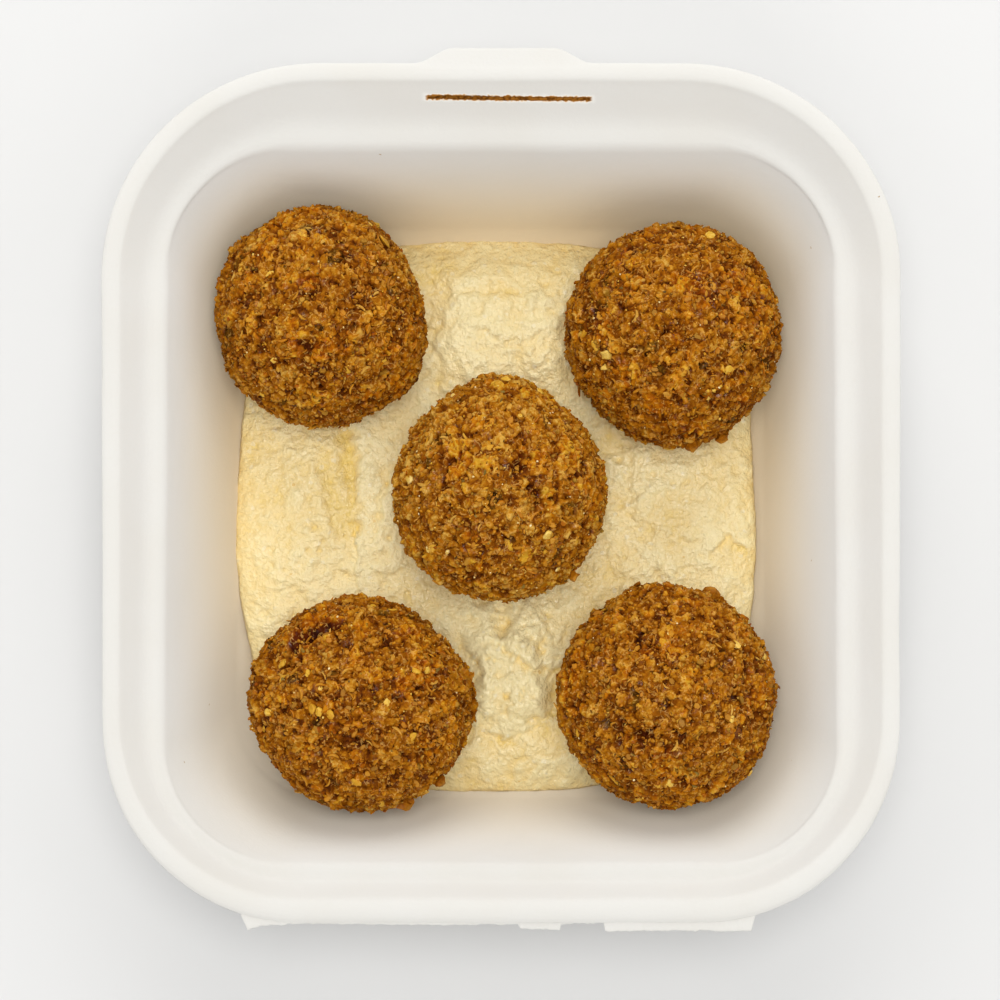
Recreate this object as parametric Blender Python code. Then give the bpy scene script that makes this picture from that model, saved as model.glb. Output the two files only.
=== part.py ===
"""Takeaway box of hummus with five falafel balls.

The box is the base of a hinged moulded-pulp box whose lid has been torn off. Its back flange carries the
lock tab and the slot of the lost lid, and its front flange the torn scraps of the hinge. +X is to the
right, +Y runs to the tab, +Z is up, and the origin is on the table under the middle of the whole.
"""

from math import cos, pi, radians, sin

import bmesh
import bpy
import numpy as np

MM = 0.001

# Driving sizes of the box, in millimetres
BOX_HEIGHT = 44.0
RIM_HALF_X = 76.2
RIM_HALF_Y = 82.25
RIM_TAPER = 0.011
BACK_CORNER_RADIUS = 41.5
FRONT_CORNER_RADIUS = 37.5
WALL = 1.0
FLOOR_TOP = WALL

# The flange falls from a raised lip down a ramp to a shoulder. The lip's points and the ramp's top are given
# as (distance in from the edge, depth below the top). The ramp is widest at the back, for the slot.
LIP = ((0.0, 1.1), (0.9, 1.0), (1.4, 0.4), (2.3, 0.0), (3.3, 0.2))
RAMP_TOP = (3.8, 1.0)
RAMP_FALL = 6.0
RAMP_RUN = {"side": 4.0, "back": 8.2, "front": 2.4}
SHOULDER_RUN = {"side": 1.9, "back": 1.9, "front": 2.9}
SHOULDER_FALL = 0.3
RAMP_STEPS = 4

# Below the shoulder the wall leans inwards and rounds into the floor
MOUTH_ROUNDING = 2.0
DRAFT = radians(20)
FLOOR_FILLET = 8.0
MOUTH_CORNER_RADIUS = 23.0
FOOT_CORNER_RADIUS = 18.0
ROUNDING_STEPS = 3
FILLET_STEPS = 4
CORNER_STEPS = 11
TOUCHING = 0.01

# Lock tab and slot at the back
TAB_X = 0.4
TAB_FLAT_HALF = 9.6
TAB_FLANK = 7.6
TAB_REACH = 3.0
TAB_STEPS = 4
SLOT_X = 1.5
SLOT_LENGTH = 31.4
SLOT_WIDTH = 0.8
SLOT_Y = 76.2
SLOT_Z = BOX_HEIGHT - 4.6
SLOT_TILT = radians(12)
SLOT_DEPTH = 8.0

# What is left of the hinge at the front: a thin strip, as (x, how far it stands out of the rim there)
HINGE_INSET = 2.0
HINGE_REACH = 1.8
HINGE_TOP = BOX_HEIGHT - 1.3
HINGE_THICKNESS = 0.7
HINGE_TEAR = (
    (-49.3, -1.2), (-48.0, 1.6), (-46.8, 1.0), (-40.0, 0.35), (-10.0, 0.6), (3.2, 0.4), (3.7, 1.3), (11.1, 1.6),
    (11.4, 0.5), (19.8, 0.15), (19.5, HINGE_REACH), (34.0, 1.65), (47.4, HINGE_REACH), (48.2, -1.0),
)

# The box sits so that tab and hinge strip reach equally far from the origin
BOX_Y = (HINGE_REACH - TAB_REACH) / 2

# Hummus: a spread layer over the floor, pressed down where the balls sit
CLEARANCE = 0.4
HUMMUS_HALF_X = 53.6
HUMMUS_BACK_Y = 54.8
HUMMUS_FRONT_Y = -60.2
HUMMUS_MIDDLE_Y = (HUMMUS_BACK_Y + HUMMUS_FRONT_Y) / 2
HUMMUS_HALF_Y = (HUMMUS_BACK_Y - HUMMUS_FRONT_Y) / 2
HUMMUS_SQUARENESS = 3.4
HUMMUS_GRID = 26
HUMMUS_BULK = 7.6
HUMMUS_EDGE = 4.4
HUMMUS_LEAST = 0.9

# Waves in the hummus's outline as (share of its reach, waves round, turn), and its foot as
# (share of the outline's reach, drop below the edge)
OUTLINE_WAVES = ((0.012, 5, 1.0), (0.008, 11, 0.0))
HUMMUS_FOOT = ((0.975, 1.9), (0.905, HUMMUS_BULK))

# Lobes (up) and furrows (down) that the spoon left, as (height, middle, half size, squareness)
SPOON_MARKS = {
    "lobe between the back balls": (1.5, (3.5, 31.0), (15.0, 10.0), 4),
    "lobe between the front balls": (2.6, (3.8, -39.5), (8.5, 10.0), 4),
    "thin front": (-3.6, (6.0, -60.0), (26.0, 10.5), 4),
    "thin back": (-1.2, (-30.0, 53.0), (60.0, 6.0), 4),
    "furrow on the left": (-1.6, (-20.5, 0.0), (1.8, 15.0), 2),
    "notch on the right": (-1.6, (45.5, -9.5), (4.0, 0.9), 2),
}
STREAKS = {"height": 0.35, "across": 0.55, "along": 0.12, "middle": (-36.0, -4.0), "half": (16.0, 20.0)}

# The dents leave room for the balls' lumps and for the grid's coarse steps
DENT_ROOM = 1.2
DENT_DEEPER = 1.06
DENT_SLACK = 4.2

# Falafel balls: middle, half sizes and the character of each crust
BALLS = {
    "falafel_back_left": {
        "middle": (-35.7, 35.6, 22.4), "half": (20.9, 21.8, 19.3), "crag": 0.55, "seed": 11,
        "lumps": ((25, 5, 0.5, -0.055), (100, 25, 0.35, 0.025), (145, 5, 0.35, 0.035), (328, 5, 0.4, 0.06)),
    },
    "falafel_back_right": {
        "middle": (33.9, 32.0, 22.4), "half": (21.2, 22.0, 19.3), "crag": 0.6, "seed": 12,
        "lumps": ((48, 10, 0.4, 0.035), (275, 15, 0.35, 0.05), (228, 10, 0.5, -0.045), (5, 5, 0.5, 0.02)),
    },
    "falafel_centre": {
        "middle": (-0.2, 1.3, 24.6), "half": (21.2, 21.7, 19.0), "crag": 0.6, "seed": 13,
        "lumps": ((88, 15, 0.35, 0.05), (45, 10, 0.5, -0.07), (140, 10, 0.5, -0.045), (232, 0, 0.5, 0.035),
                  (290, 10, 0.5, 0.03)),
    },
    "falafel_front_left": {
        "middle": (-27.7, -41.0, 22.4), "half": (21.8, 20.9, 19.2), "crag": 1.0, "seed": 14,
        "lumps": ((45, 5, 0.4, -0.05), (105, 30, 0.3, 0.02), (130, 45, 0.2, -0.09), (155, 35, 0.22, -0.08),
                  (5, 5, 0.4, 0.03), (165, 5, 0.3, 0.03), (215, 5, 0.4, -0.02)),
    },
    "falafel_front_right": {
        "middle": (32.7, -39.6, 22.4), "half": (21.3, 21.8, 19.3), "crag": 0.7, "seed": 15,
        "lumps": ((95, 10, 0.4, 0.02), (215, 55, 0.2, -0.05), (300, 5, 0.5, 0.02), (185, 10, 0.5, 0.015)),
    },
}
CRAG_CELL = 4.6
CRAG_DOME = 0.6
CRAG_LATTICE = 16
FLAT_SPOT = 0.86
BALL_FACES_KEPT = 0.29

MATERIALS = {
    "pulp": ((0.86, 0.84, 0.79), 0.75),
    "hummus": ((0.80, 0.64, 0.33), 0.5),
    "falafel": ((0.29, 0.12, 0.02), 0.6),
}


def wall_profile(side):
    """Top line of the box wall on one side, from the flange's trimmed edge to the flat of the floor."""
    run = RAMP_RUN[side]
    points = [(inset, BOX_HEIGHT - depth) for inset, depth in (*LIP, RAMP_TOP)]
    ramp_x, ramp_z = points[-1]
    for step in range(1, RAMP_STEPS + 1):
        turn = pi / 2 * step / RAMP_STEPS
        points.append((ramp_x + run * (1 - cos(turn)), ramp_z - RAMP_FALL * sin(turn)))
    edge_x = ramp_x + run + SHOULDER_RUN[side]
    edge_z = ramp_z - RAMP_FALL - SHOULDER_FALL
    points.append((edge_x, edge_z))
    steepest = pi / 2 - DRAFT
    for step in range(1, ROUNDING_STEPS + 1):
        turn = steepest * step / ROUNDING_STEPS
        points.append((edge_x + MOUTH_ROUNDING * sin(turn), edge_z - MOUTH_ROUNDING * (1 - cos(turn))))
    fillet_z = FLOOR_TOP + FLOOR_FILLET
    wall_top_x, wall_top_z = points[-1]
    wall_foot_z = fillet_z - FLOOR_FILLET * sin(DRAFT)
    wall_foot_x = wall_top_x + (wall_top_z - wall_foot_z) * sin(DRAFT) / cos(DRAFT)
    fillet_x = wall_foot_x + FLOOR_FILLET * cos(DRAFT)
    for step in range(FILLET_STEPS + 1):
        turn = DRAFT + (pi / 2 - DRAFT) * step / FILLET_STEPS
        points.append((fillet_x - FLOOR_FILLET * cos(turn), fillet_z - FLOOR_FILLET * sin(turn)))
    return np.array(points)


def offset_line(points, distance):
    """A line moved sideways by a distance, away from the cavity, with its last point kept over the floor."""
    along = np.gradient(points, axis=0)
    along[-1] = (1, 0)
    along /= np.linalg.norm(along, axis=1)[:, None]
    return points + distance * np.column_stack((along[:, 1], -along[:, 0]))


def corner_radii(profile, rim_radius):
    """Corner radius of each ring: parallel along the lip, then closing in to the mouth and the foot."""
    count = len(profile)
    mouth = len(LIP) + RAMP_STEPS + 1 + ROUNDING_STEPS
    foot = mouth + 1
    ramp_radius = rim_radius - RAMP_TOP[0]
    knots = (0, len(LIP), mouth, foot, count - 1)
    floor_radius = FOOT_CORNER_RADIUS - FLOOR_FILLET * cos(DRAFT)
    values = (rim_radius, ramp_radius, MOUTH_CORNER_RADIUS, FOOT_CORNER_RADIUS, floor_radius)
    return np.interp(range(count), knots, values)


def ring_points(insets, heights, radii, taper):
    """One closed ring of the box: a rounded rectangle, narrower at the front by the taper. Its inset and its
    height differ by side."""
    half_x = RIM_HALF_X - insets["side"]
    back_y = RIM_HALF_Y - insets["back"]
    front_y = -RIM_HALF_Y + insets["front"]
    points = []
    corners = (("back", 1, 1), ("back", -1, 1), ("front", -1, -1), ("front", 1, -1))
    for number, (end, sign_x, sign_y) in enumerate(corners):
        radius = radii[end]
        middle_x = sign_x * (half_x - radius)
        middle_y = back_y - radius if sign_y > 0 else front_y + radius
        for step in range(CORNER_STEPS + 1):
            turn = pi / 2 * (number + step / CORNER_STEPS)
            height = cos(turn) ** 2 * heights["side"] + sin(turn) ** 2 * heights[end]
            points.append((middle_x + radius * cos(turn), middle_y + radius * sin(turn), height))
        if number == 0:
            points += [(TAB_X + x, back_y, heights["back"]) for x in tab_stops()]
    points = np.array(points)
    points[:, 0] *= 1 + taper * points[:, 1] / RIM_HALF_Y
    return points


def tab_stops():
    """Stops along the back, from right to left, that carry the outline of the lock tab."""
    flank = [TAB_FLAT_HALF + TAB_FLANK * step / TAB_STEPS for step in range(TAB_STEPS + 1)]
    return [*reversed(flank), *(-x for x in flank)]


def tab_reach(x):
    """How far the lock tab stands out at x: flat in the middle, with flanks that ease down."""
    past = np.clip((np.abs(x - TAB_X) - TAB_FLAT_HALF) / TAB_FLANK, 0, 1)
    return TAB_REACH * (0.5 + 0.5 * np.cos(pi * past))


def box_rings():
    """Every ring of the box in order: over the lip and down inside, then back up outside."""
    inner = {side: wall_profile(side) for side in RAMP_RUN}
    outer = {side: offset_line(line, WALL) for side, line in inner.items()}
    rims = {"back": BACK_CORNER_RADIUS, "front": FRONT_CORNER_RADIUS}
    radii = {end: corner_radii(inner["side"], rim) for end, rim in rims.items()}
    count = len(inner["side"])
    rings = []
    for lines, order in ((inner, range(count - 1, -1, -1)), (outer, range(count))):
        for k in order:
            insets = {side: line[k][0] for side, line in lines.items()}
            heights = {side: line[k][1] for side, line in lines.items()}
            if lines is outer and k == 0:
                insets = {side: 0.0 for side in insets}
                heights = {side: inner[side][0][1] - WALL for side in heights}
            grow = inner["side"][k][0] - insets["side"]
            taper = RIM_TAPER * (1 - min(1, k / (len(LIP) + RAMP_STEPS + 1)))
            ring = ring_points(insets, heights, {end: radii[end][k] + grow for end in rims}, taper)
            if k == 0:
                back = ring[:, 1] > RIM_HALF_Y - TOUCHING
                ring[back, 1] += tab_reach(ring[back, 0])
            rings.append(ring)
    return rings


def lofted_box(name):
    """The box as a loft through its rings, closed by the floor's two faces."""
    mesh = bmesh.new()
    rings = []
    for points in box_rings():
        rings.append([mesh.verts.new((x * MM, y * MM, z * MM)) for x, y, z in points])
    for lower, upper in zip(rings, rings[1:]):
        for n in range(len(lower)):
            after = (n + 1) % len(lower)
            mesh.faces.new((lower[n], upper[n], upper[after], lower[after]))
    mesh.faces.new(rings[0])
    mesh.faces.new(reversed(rings[-1]))
    bmesh.ops.recalc_face_normals(mesh, faces=mesh.faces)
    return finished_object(name, mesh)


def finished_object(name, mesh):
    """A new object that holds the mesh."""
    data = bpy.data.meshes.new(name)
    mesh.to_mesh(data)
    mesh.free()
    return bpy.data.objects.new(name, data)


def slot_blade():
    """A thin blade across the back ramp, nearly upright, as the punch went in from above."""
    mesh = bmesh.new()
    bmesh.ops.create_cube(mesh, size=1)
    bmesh.ops.scale(mesh, vec=(SLOT_LENGTH * MM, SLOT_WIDTH * MM, SLOT_DEPTH * MM), verts=mesh.verts)
    blade = finished_object("slot_blade", mesh)
    blade.rotation_euler = (SLOT_TILT, 0, 0)
    blade.location = (SLOT_X * MM, SLOT_Y * MM, SLOT_Z * MM)
    return blade


def hinge_strip():
    """The thin strip that the torn hinge left along the front: its torn outline, given thickness."""
    mesh = bmesh.new()
    rim_y = -RIM_HALF_Y
    outline = [(x, rim_y - reach) for x, reach in HINGE_TEAR]
    outline += [(HINGE_TEAR[-1][0] - HINGE_INSET, rim_y + HINGE_INSET),
                (HINGE_TEAR[0][0] + HINGE_INSET, rim_y + HINGE_INSET)]
    face = mesh.faces.new([mesh.verts.new((x * MM, y * MM, HINGE_TOP * MM)) for x, y in outline])
    lower = bmesh.ops.extrude_face_region(mesh, geom=[face])["geom"]
    lower = [item for item in lower if isinstance(item, bmesh.types.BMVert)]
    bmesh.ops.translate(mesh, vec=(0, 0, -HINGE_THICKNESS * MM), verts=lower)
    bmesh.ops.recalc_face_normals(mesh, faces=mesh.faces)
    return finished_object("hinge_strip", mesh)


def crag_lattice(seed):
    """One random point and one random value for each cell of a repeating lattice."""
    return np.random.default_rng(seed).random((CRAG_LATTICE, CRAG_LATTICE, CRAG_LATTICE, 4))


def crags(points, seed):
    """Relief of a craggy crust, about -1 to 1: each cell is a domed crumb cluster of its own height."""
    lattice = crag_lattice(seed)
    grid = points / CRAG_CELL
    cells = np.floor(grid).astype(int)
    nearest = np.full(len(points), np.inf)
    value = np.zeros(len(points))
    steps = (-1, 0, 1)
    for offset in ((i, j, k) for i in steps for j in steps for k in steps):
        cell = cells + offset
        draw = lattice[tuple((cell % CRAG_LATTICE).T)]
        distance = np.linalg.norm(grid - cell - draw[:, :3], axis=1)
        closer = distance < nearest
        nearest = np.where(closer, distance, nearest)
        value = np.where(closer, draw[:, 3], value)
    return value - 0.5 + CRAG_DOME * (0.5 - nearest)


def ball_surface(directions, ball):
    """Crust of a ball without its crags: an ellipsoid with broad lumps and dents, flat where it rests."""
    factor = np.ones(len(directions))
    for azimuth, elevation, width, height in ball["lumps"]:
        up = radians(elevation)
        around = radians(azimuth)
        towards = np.array((cos(up) * cos(around), cos(up) * sin(around), sin(up)))
        away = np.arccos(np.clip(directions @ towards, -1, 1))
        factor += height * np.exp(-((away / width) ** 2))
    points = directions * factor[:, None] * np.array(ball["half"])
    lowest = -FLAT_SPOT * ball["half"][2]
    points[:, 2] = np.maximum(points[:, 2], lowest)
    return points


def falafel_ball(name, ball):
    """One ball: a fine round mesh pushed out into crags, then thinned."""
    mesh = bmesh.new()
    bmesh.ops.create_icosphere(mesh, subdivisions=5, radius=1)
    directions = np.array([v.co[:] for v in mesh.verts])
    directions /= np.linalg.norm(directions, axis=1)[:, None]
    surface = ball_surface(directions, ball)
    relief = ball["crag"] * crags(surface, ball["seed"])
    points = surface + directions * relief[:, None]
    lowest = -FLAT_SPOT * ball["half"][2]
    points[:, 2] = np.maximum(points[:, 2], lowest)
    for vertex, point in zip(mesh.verts, points):
        vertex.co = point * MM
    thing = finished_object(name, mesh)
    thing.location = np.array(ball["middle"]) * MM
    thin = thing.modifiers.new("Thin", "DECIMATE")
    thin.ratio = BALL_FACES_KEPT
    return thing


def hummus_outline(turn):
    """Distance from the spread's middle to its outline in the direction turn, for arrays of turns."""
    across = np.abs(np.cos(turn)) / HUMMUS_HALF_X
    along = np.abs(np.sin(turn)) / HUMMUS_HALF_Y
    reach = (across**HUMMUS_SQUARENESS + along**HUMMUS_SQUARENESS) ** (-1 / HUMMUS_SQUARENESS)
    waves = sum(share * (1 + np.sin(count * turn + shift)) for share, count, shift in OUTLINE_WAVES)
    return reach * (1 - waves)


def bump(x, y, middle, size, squareness):
    """A smooth hill that is 1 at its middle and fades past its size."""
    far_x = np.abs((x - middle[0]) / size[0])
    far_y = np.abs((y - middle[1]) / size[1])
    return np.exp(-(far_x**squareness) - far_y**squareness)


def hummus_relief(x, y):
    """Height of the spread above its bulk: the spoon's lobes and furrows, and fine streaks on the left."""
    height = sum(up * bump(x, y, middle, half, power) for up, middle, half, power in SPOON_MARKS.values())
    streaks = STREAKS["height"] * np.sin(STREAKS["across"] * x + STREAKS["along"] * y)
    return height + streaks * bump(x, y, STREAKS["middle"], STREAKS["half"], 2)


def under_the_balls(x, y):
    """Highest level that the hummus may have under the balls."""
    limit = np.full(x.shape, np.inf)
    for ball in BALLS.values():
        half = ball["half"]
        away_x = (x - ball["middle"][0]) / (half[0] + DENT_ROOM)
        away_y = (y - ball["middle"][1]) / (half[1] + DENT_ROOM)
        away = np.clip(np.hypot(away_x, away_y) - DENT_SLACK / half[0], 0, 1)
        under = ball["middle"][2] - half[2] * DENT_DEEPER * np.sqrt(1 - away**2)
        flat = ball["middle"][2] - FLAT_SPOT * half[2]
        level = np.maximum(under, flat) - CLEARANCE
        limit = np.where(away < 1, np.minimum(limit, level), limit)
    return limit


def hummus_top(x, y, nearness):
    """Level of the hummus's top: the bulk, eased down to its edge, dented by the balls."""
    inside = np.clip(1 - nearness**8, 0, 1)
    rise = HUMMUS_EDGE + (HUMMUS_BULK - HUMMUS_EDGE) * np.sqrt(inside)
    level = FLOOR_TOP + rise + inside * hummus_relief(x, y)
    return np.maximum(np.minimum(level, under_the_balls(x, y)), FLOOR_TOP + CLEARANCE + HUMMUS_LEAST)


def hummus_spread(name):
    """The hummus: a square grid bent to its outline, with a rounded foot that follows the wall."""
    mesh = bmesh.new()
    bmesh.ops.create_grid(mesh, x_segments=HUMMUS_GRID, y_segments=HUMMUS_GRID, size=1)
    flat = np.array([v.co[:] for v in mesh.verts])
    nearness = np.maximum(np.abs(flat[:, 0]), np.abs(flat[:, 1]))
    turn = np.arctan2(flat[:, 1], flat[:, 0])
    reach = nearness * hummus_outline(turn)
    x = reach * np.cos(turn)
    y = reach * np.sin(turn)
    z = hummus_top(x, y + HUMMUS_MIDDLE_Y, nearness)
    for vertex, point in zip(mesh.verts, np.column_stack((x, y, z))):
        vertex.co = point * MM
    rim = [edge for edge in mesh.edges if edge.is_boundary]
    bottom = (FLOOR_TOP + CLEARANCE) * MM
    above = 1.0
    for share, drop in HUMMUS_FOOT:
        made = bmesh.ops.extrude_edge_only(mesh, edges=rim)["geom"]
        rim = [item for item in made if isinstance(item, bmesh.types.BMEdge)]
        for vertex in [item for item in made if isinstance(item, bmesh.types.BMVert)]:
            vertex.co.x *= share / above
            vertex.co.y *= share / above
            vertex.co.z = max(vertex.co.z - drop * MM, bottom)
        above = share
    bmesh.ops.edgeloop_fill(mesh, edges=rim)
    bmesh.ops.recalc_face_normals(mesh, faces=mesh.faces)
    bmesh.ops.translate(mesh, vec=(0, HUMMUS_MIDDLE_Y * MM, 0), verts=mesh.verts)
    return finished_object(name, mesh)


def painted(thing, name):
    """Gives the object its plain material."""
    colour, roughness = MATERIALS[name]
    material = bpy.data.materials.get(name) or bpy.data.materials.new(name)
    material.use_nodes = True
    shader = material.node_tree.nodes["Principled BSDF"]
    shader.inputs["Base Color"].default_value = (*colour, 1)
    shader.inputs["Roughness"].default_value = roughness
    shader.inputs["Metallic"].default_value = 0
    thing.data.materials.append(material)


def use_tool(box, tool, operation):
    """Cuts the tool out of the box, or joins it on."""
    step = box.modifiers.new(tool.name, "BOOLEAN")
    step.operation = operation
    step.object = tool
    tool.hide_render = True
    tool.display_type = "WIRE"


def main():
    for old in list(bpy.data.objects):
        bpy.data.objects.remove(old)
    meal = bpy.data.collections.new("falafel_and_hummus_box")
    cutters = bpy.data.collections.new("cutters")
    for collection in (meal, cutters):
        bpy.context.scene.collection.children.link(collection)
    middle = bpy.data.objects.new("middle_of_the_rim", None)
    middle.location = (0, BOX_Y * MM, 0)
    meal.objects.link(middle)

    box = lofted_box("pulp_box")
    painted(box, "pulp")
    blade = slot_blade()
    use_tool(box, blade, "DIFFERENCE")
    strip = hinge_strip()
    use_tool(box, strip, "UNION")
    for tool in (blade, strip):
        cutters.objects.link(tool)
        tool.parent = middle
    hummus = hummus_spread("hummus")
    painted(hummus, "hummus")
    things = [box, hummus]
    for name, ball in BALLS.items():
        falafel = falafel_ball(name, ball)
        painted(falafel, "falafel")
        things.append(falafel)
    for thing in things:
        thing.data.shade_smooth()
        thing.parent = middle
        meal.objects.link(thing)


main()
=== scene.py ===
import math

import bmesh
import bpy
import numpy as np
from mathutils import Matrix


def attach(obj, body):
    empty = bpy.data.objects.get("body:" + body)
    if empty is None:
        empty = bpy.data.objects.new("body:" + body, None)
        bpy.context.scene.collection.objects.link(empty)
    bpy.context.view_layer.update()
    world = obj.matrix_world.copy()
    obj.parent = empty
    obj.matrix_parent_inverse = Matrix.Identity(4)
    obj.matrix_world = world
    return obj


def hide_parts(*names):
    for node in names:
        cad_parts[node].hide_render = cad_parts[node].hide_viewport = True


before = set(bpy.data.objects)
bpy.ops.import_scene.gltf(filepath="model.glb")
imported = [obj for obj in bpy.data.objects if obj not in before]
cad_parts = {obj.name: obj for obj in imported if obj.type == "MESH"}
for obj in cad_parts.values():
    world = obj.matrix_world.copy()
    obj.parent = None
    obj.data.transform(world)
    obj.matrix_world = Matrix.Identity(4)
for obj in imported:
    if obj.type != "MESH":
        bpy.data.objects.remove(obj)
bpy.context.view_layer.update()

mm = 0.001
rimMiddleY = -0.6
noiseSize = 32


# Noise and cells that several pieces use

def latticeNoise(points, cell, seed):
    # Random values at the corners of cubes one cell wide, eased between the corners: about -1 to 1
    lattice = np.random.default_rng(seed).uniform(-1, 1, (noiseSize, noiseSize, noiseSize))
    grid = points / cell
    low = np.floor(grid).astype(int)
    ease = grid - low
    ease = ease * ease * (3 - 2 * ease)
    total = np.zeros(len(points))
    for corner in np.ndindex(2, 2, 2):
        share = np.where(corner, ease, 1 - ease).prod(axis=1)
        total += share * lattice[tuple(((low + corner) % noiseSize).T)]
    return total


def cloudNoise(points, cell, seed, layers=3):
    # Lattice noise in layers, each half as wide and half as strong as the one before
    return sum(latticeNoise(points, cell / 2**k, seed + k) / 2**k for k in range(layers))


def driftNoise(points, cell, seed):
    # Three noises side by side, which shift a point along x, y and z
    return np.column_stack([latticeNoise(points, cell, seed + axis) for axis in range(3)])


def crumbCells(points, cell, seed, size=noiseSize):
    # With one random point a cube: the distances in cells to the nearest and second nearest, the nearest's
    # random draw, and the height there of a plane through it that leans its own way
    lattice = np.random.default_rng(seed).random((size, size, size, 4))
    grid = points / cell
    home = np.floor(grid).astype(int)
    nearest = np.full(len(points), 9.0)
    second = nearest.copy()
    draw = np.zeros(len(points))
    slope = np.zeros(len(points))
    for step in np.ndindex(3, 3, 3):
        cube = home + np.array(step) - 1
        random = lattice[tuple((cube % size).T)]
        away = grid - cube - random[:, :3]
        far = np.linalg.norm(away, axis=1)
        closer = far < nearest
        second = np.where(closer, nearest, np.minimum(second, far))
        draw = np.where(closer, random[:, 3], draw)
        slope = np.where(closer, (away * unitRows(random[:, :3] - 0.5)).sum(axis=1), slope)
        nearest = np.where(closer, far, nearest)
    return {"near": nearest, "second": second, "draw": draw, "slope": slope}


def unitRows(vectors):
    return vectors / np.linalg.norm(vectors, axis=-1, keepdims=True)


def fade(value, low, high):
    # 0 below low, 1 above high and a smooth rise between
    share = np.clip((value - low) / (high - low), 0, 1)
    return share * share * (3 - 2 * share)


# From arrays to meshes

def gridFaces(rows, columns, ring=True):
    # Four-sided faces between neighbours of a rows x columns grid; a ring joins its last column to its first
    row, column = np.meshgrid(np.arange(rows - 1), np.arange(columns if ring else columns - 1), indexing="ij")
    here = row * columns + column
    beside = row * columns + (column + 1) % columns
    return np.stack((here, beside, beside + columns, here + columns), axis=-1).reshape(-1, 4)


def makeMesh(name, points, faces, values=None, shut=False):
    # Points in millimetres from the middle of the rim; values are one number a point, kept as attributes
    placed = (points + np.array((0, rimMiddleY, 0))) * mm
    mesh = bpy.data.meshes.new(name)
    mesh.vertices.add(len(placed))
    mesh.vertices.foreach_set("co", placed.astype(np.float32).ravel())
    mesh.loops.add(faces.size)
    mesh.loops.foreach_set("vertex_index", faces.astype(np.int32).ravel())
    mesh.polygons.add(len(faces))
    mesh.polygons.foreach_set("loop_start", np.arange(0, faces.size, faces.shape[1], dtype=np.int32))
    mesh.update(calc_edges=True)
    for key, value in (values or {}).items():
        mesh.attributes.new(key, "FLOAT", "POINT").data.foreach_set("value", value.astype(np.float32))
    shell = bmesh.new()
    shell.from_mesh(mesh)
    if shut:
        rims = [edge for edge in shell.edges if edge.is_boundary]
        bmesh.ops.edgeloop_fill(shell, edges=rims)
    bmesh.ops.recalc_face_normals(shell, faces=shell.faces)
    shell.to_mesh(mesh)
    shell.free()
    mesh.shade_smooth()
    return mesh


def makePiece(mesh, material, slot, *nodes):
    # The finished piece at the origin, riding on the box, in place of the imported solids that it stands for
    piece = bpy.data.objects.new(mesh.name, mesh)
    bpy.context.scene.collection.objects.link(piece)
    mesh.materials.append(material)
    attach(piece, "root")
    if nodes:
        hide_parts(*nodes)
    return piece


# Shader helpers

def newMaterial(name, settings):
    # A material with one Principled shader, whose plain settings are given by socket name, and the object's
    # own coordinates
    material = bpy.data.materials.new(name)
    material.use_nodes = True
    tree = material.node_tree
    shader = tree.nodes["Principled BSDF"]
    for key, value in settings.items():
        shader.inputs[key].default_value = value
    return material, tree, shader, addNode(tree, "TexCoord").outputs["Object"]


def addNode(tree, kind, sockets=None, **settings):
    # A node with its settings, and its sockets either linked or set
    node = tree.nodes.new("ShaderNode" + kind)
    for key, value in settings.items():
        setattr(node, key, value)
    for key, value in (sockets or {}).items():
        if isinstance(value, bpy.types.NodeSocket):
            tree.links.new(value, node.inputs[key])
        else:
            node.inputs[key].default_value = value
    return node


def mathNode(tree, operation, *values):
    # Sockets or numbers worked together
    return addNode(tree, "Math", dict(enumerate(values)), operation=operation).outputs[0]


def noiseNode(tree, place, scale, detail, **sockets):
    return addNode(tree, "TexNoise", {"Vector": place, "Scale": scale, "Detail": detail, **sockets}).outputs


def useGroup(tree, group, sockets):
    return addNode(tree, "Group", sockets, node_tree=group).outputs


def stirPlace(tree, place, noise, amount):
    # A place moved about by a noise's colours
    drift = addNode(tree, "VectorMath", {0: noise["Color"], "Scale": amount}, operation="SCALE")
    return addNode(tree, "VectorMath", {0: place, 1: drift.outputs[0]}, operation="ADD").outputs[0]


def addBump(tree, shader, height, strength, distance):
    bump = addNode(tree, "Bump", {"Height": height, "Strength": strength, "Distance": distance})
    tree.links.new(bump.outputs[0], shader.inputs["Normal"])


def blendColour(tree, share, first, second, mode="MIX"):
    # Mixes two colours by a share and gives the result's socket
    node = addNode(tree, "Mix", data_type="RGBA", blend_type=mode)
    for socket, value in ((node.inputs[0], share), (node.inputs[6], first), (node.inputs[7], second)):
        if isinstance(value, bpy.types.NodeSocket):
            tree.links.new(value, socket)
        else:
            socket.default_value = value
    return node.outputs[2]


def rampColour(tree, value, stops):
    # A colour ramp from stops of (place, colour)
    node = addNode(tree, "ValToRGB", {"Fac": value})
    elements = node.color_ramp.elements
    while len(elements) < len(stops):
        elements.new(0.5)
    for element, (place, colour) in zip(elements, stops):
        element.position = place
        element.color = (*colour, 1)
    return node.outputs["Color"]


def rangeNode(tree, value, low, high, bottom=0.0, top=1.0):
    # Maps low..high to bottom..top with smooth ends
    sockets = {"Value": value, "From Min": low, "From Max": high, "To Min": bottom, "To Max": top}
    return addNode(tree, "MapRange", sockets, interpolation_type="SMOOTHSTEP").outputs["Result"]


def readAttribute(tree, name):
    return addNode(tree, "Attribute", attribute_name=name).outputs["Fac"]


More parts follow.
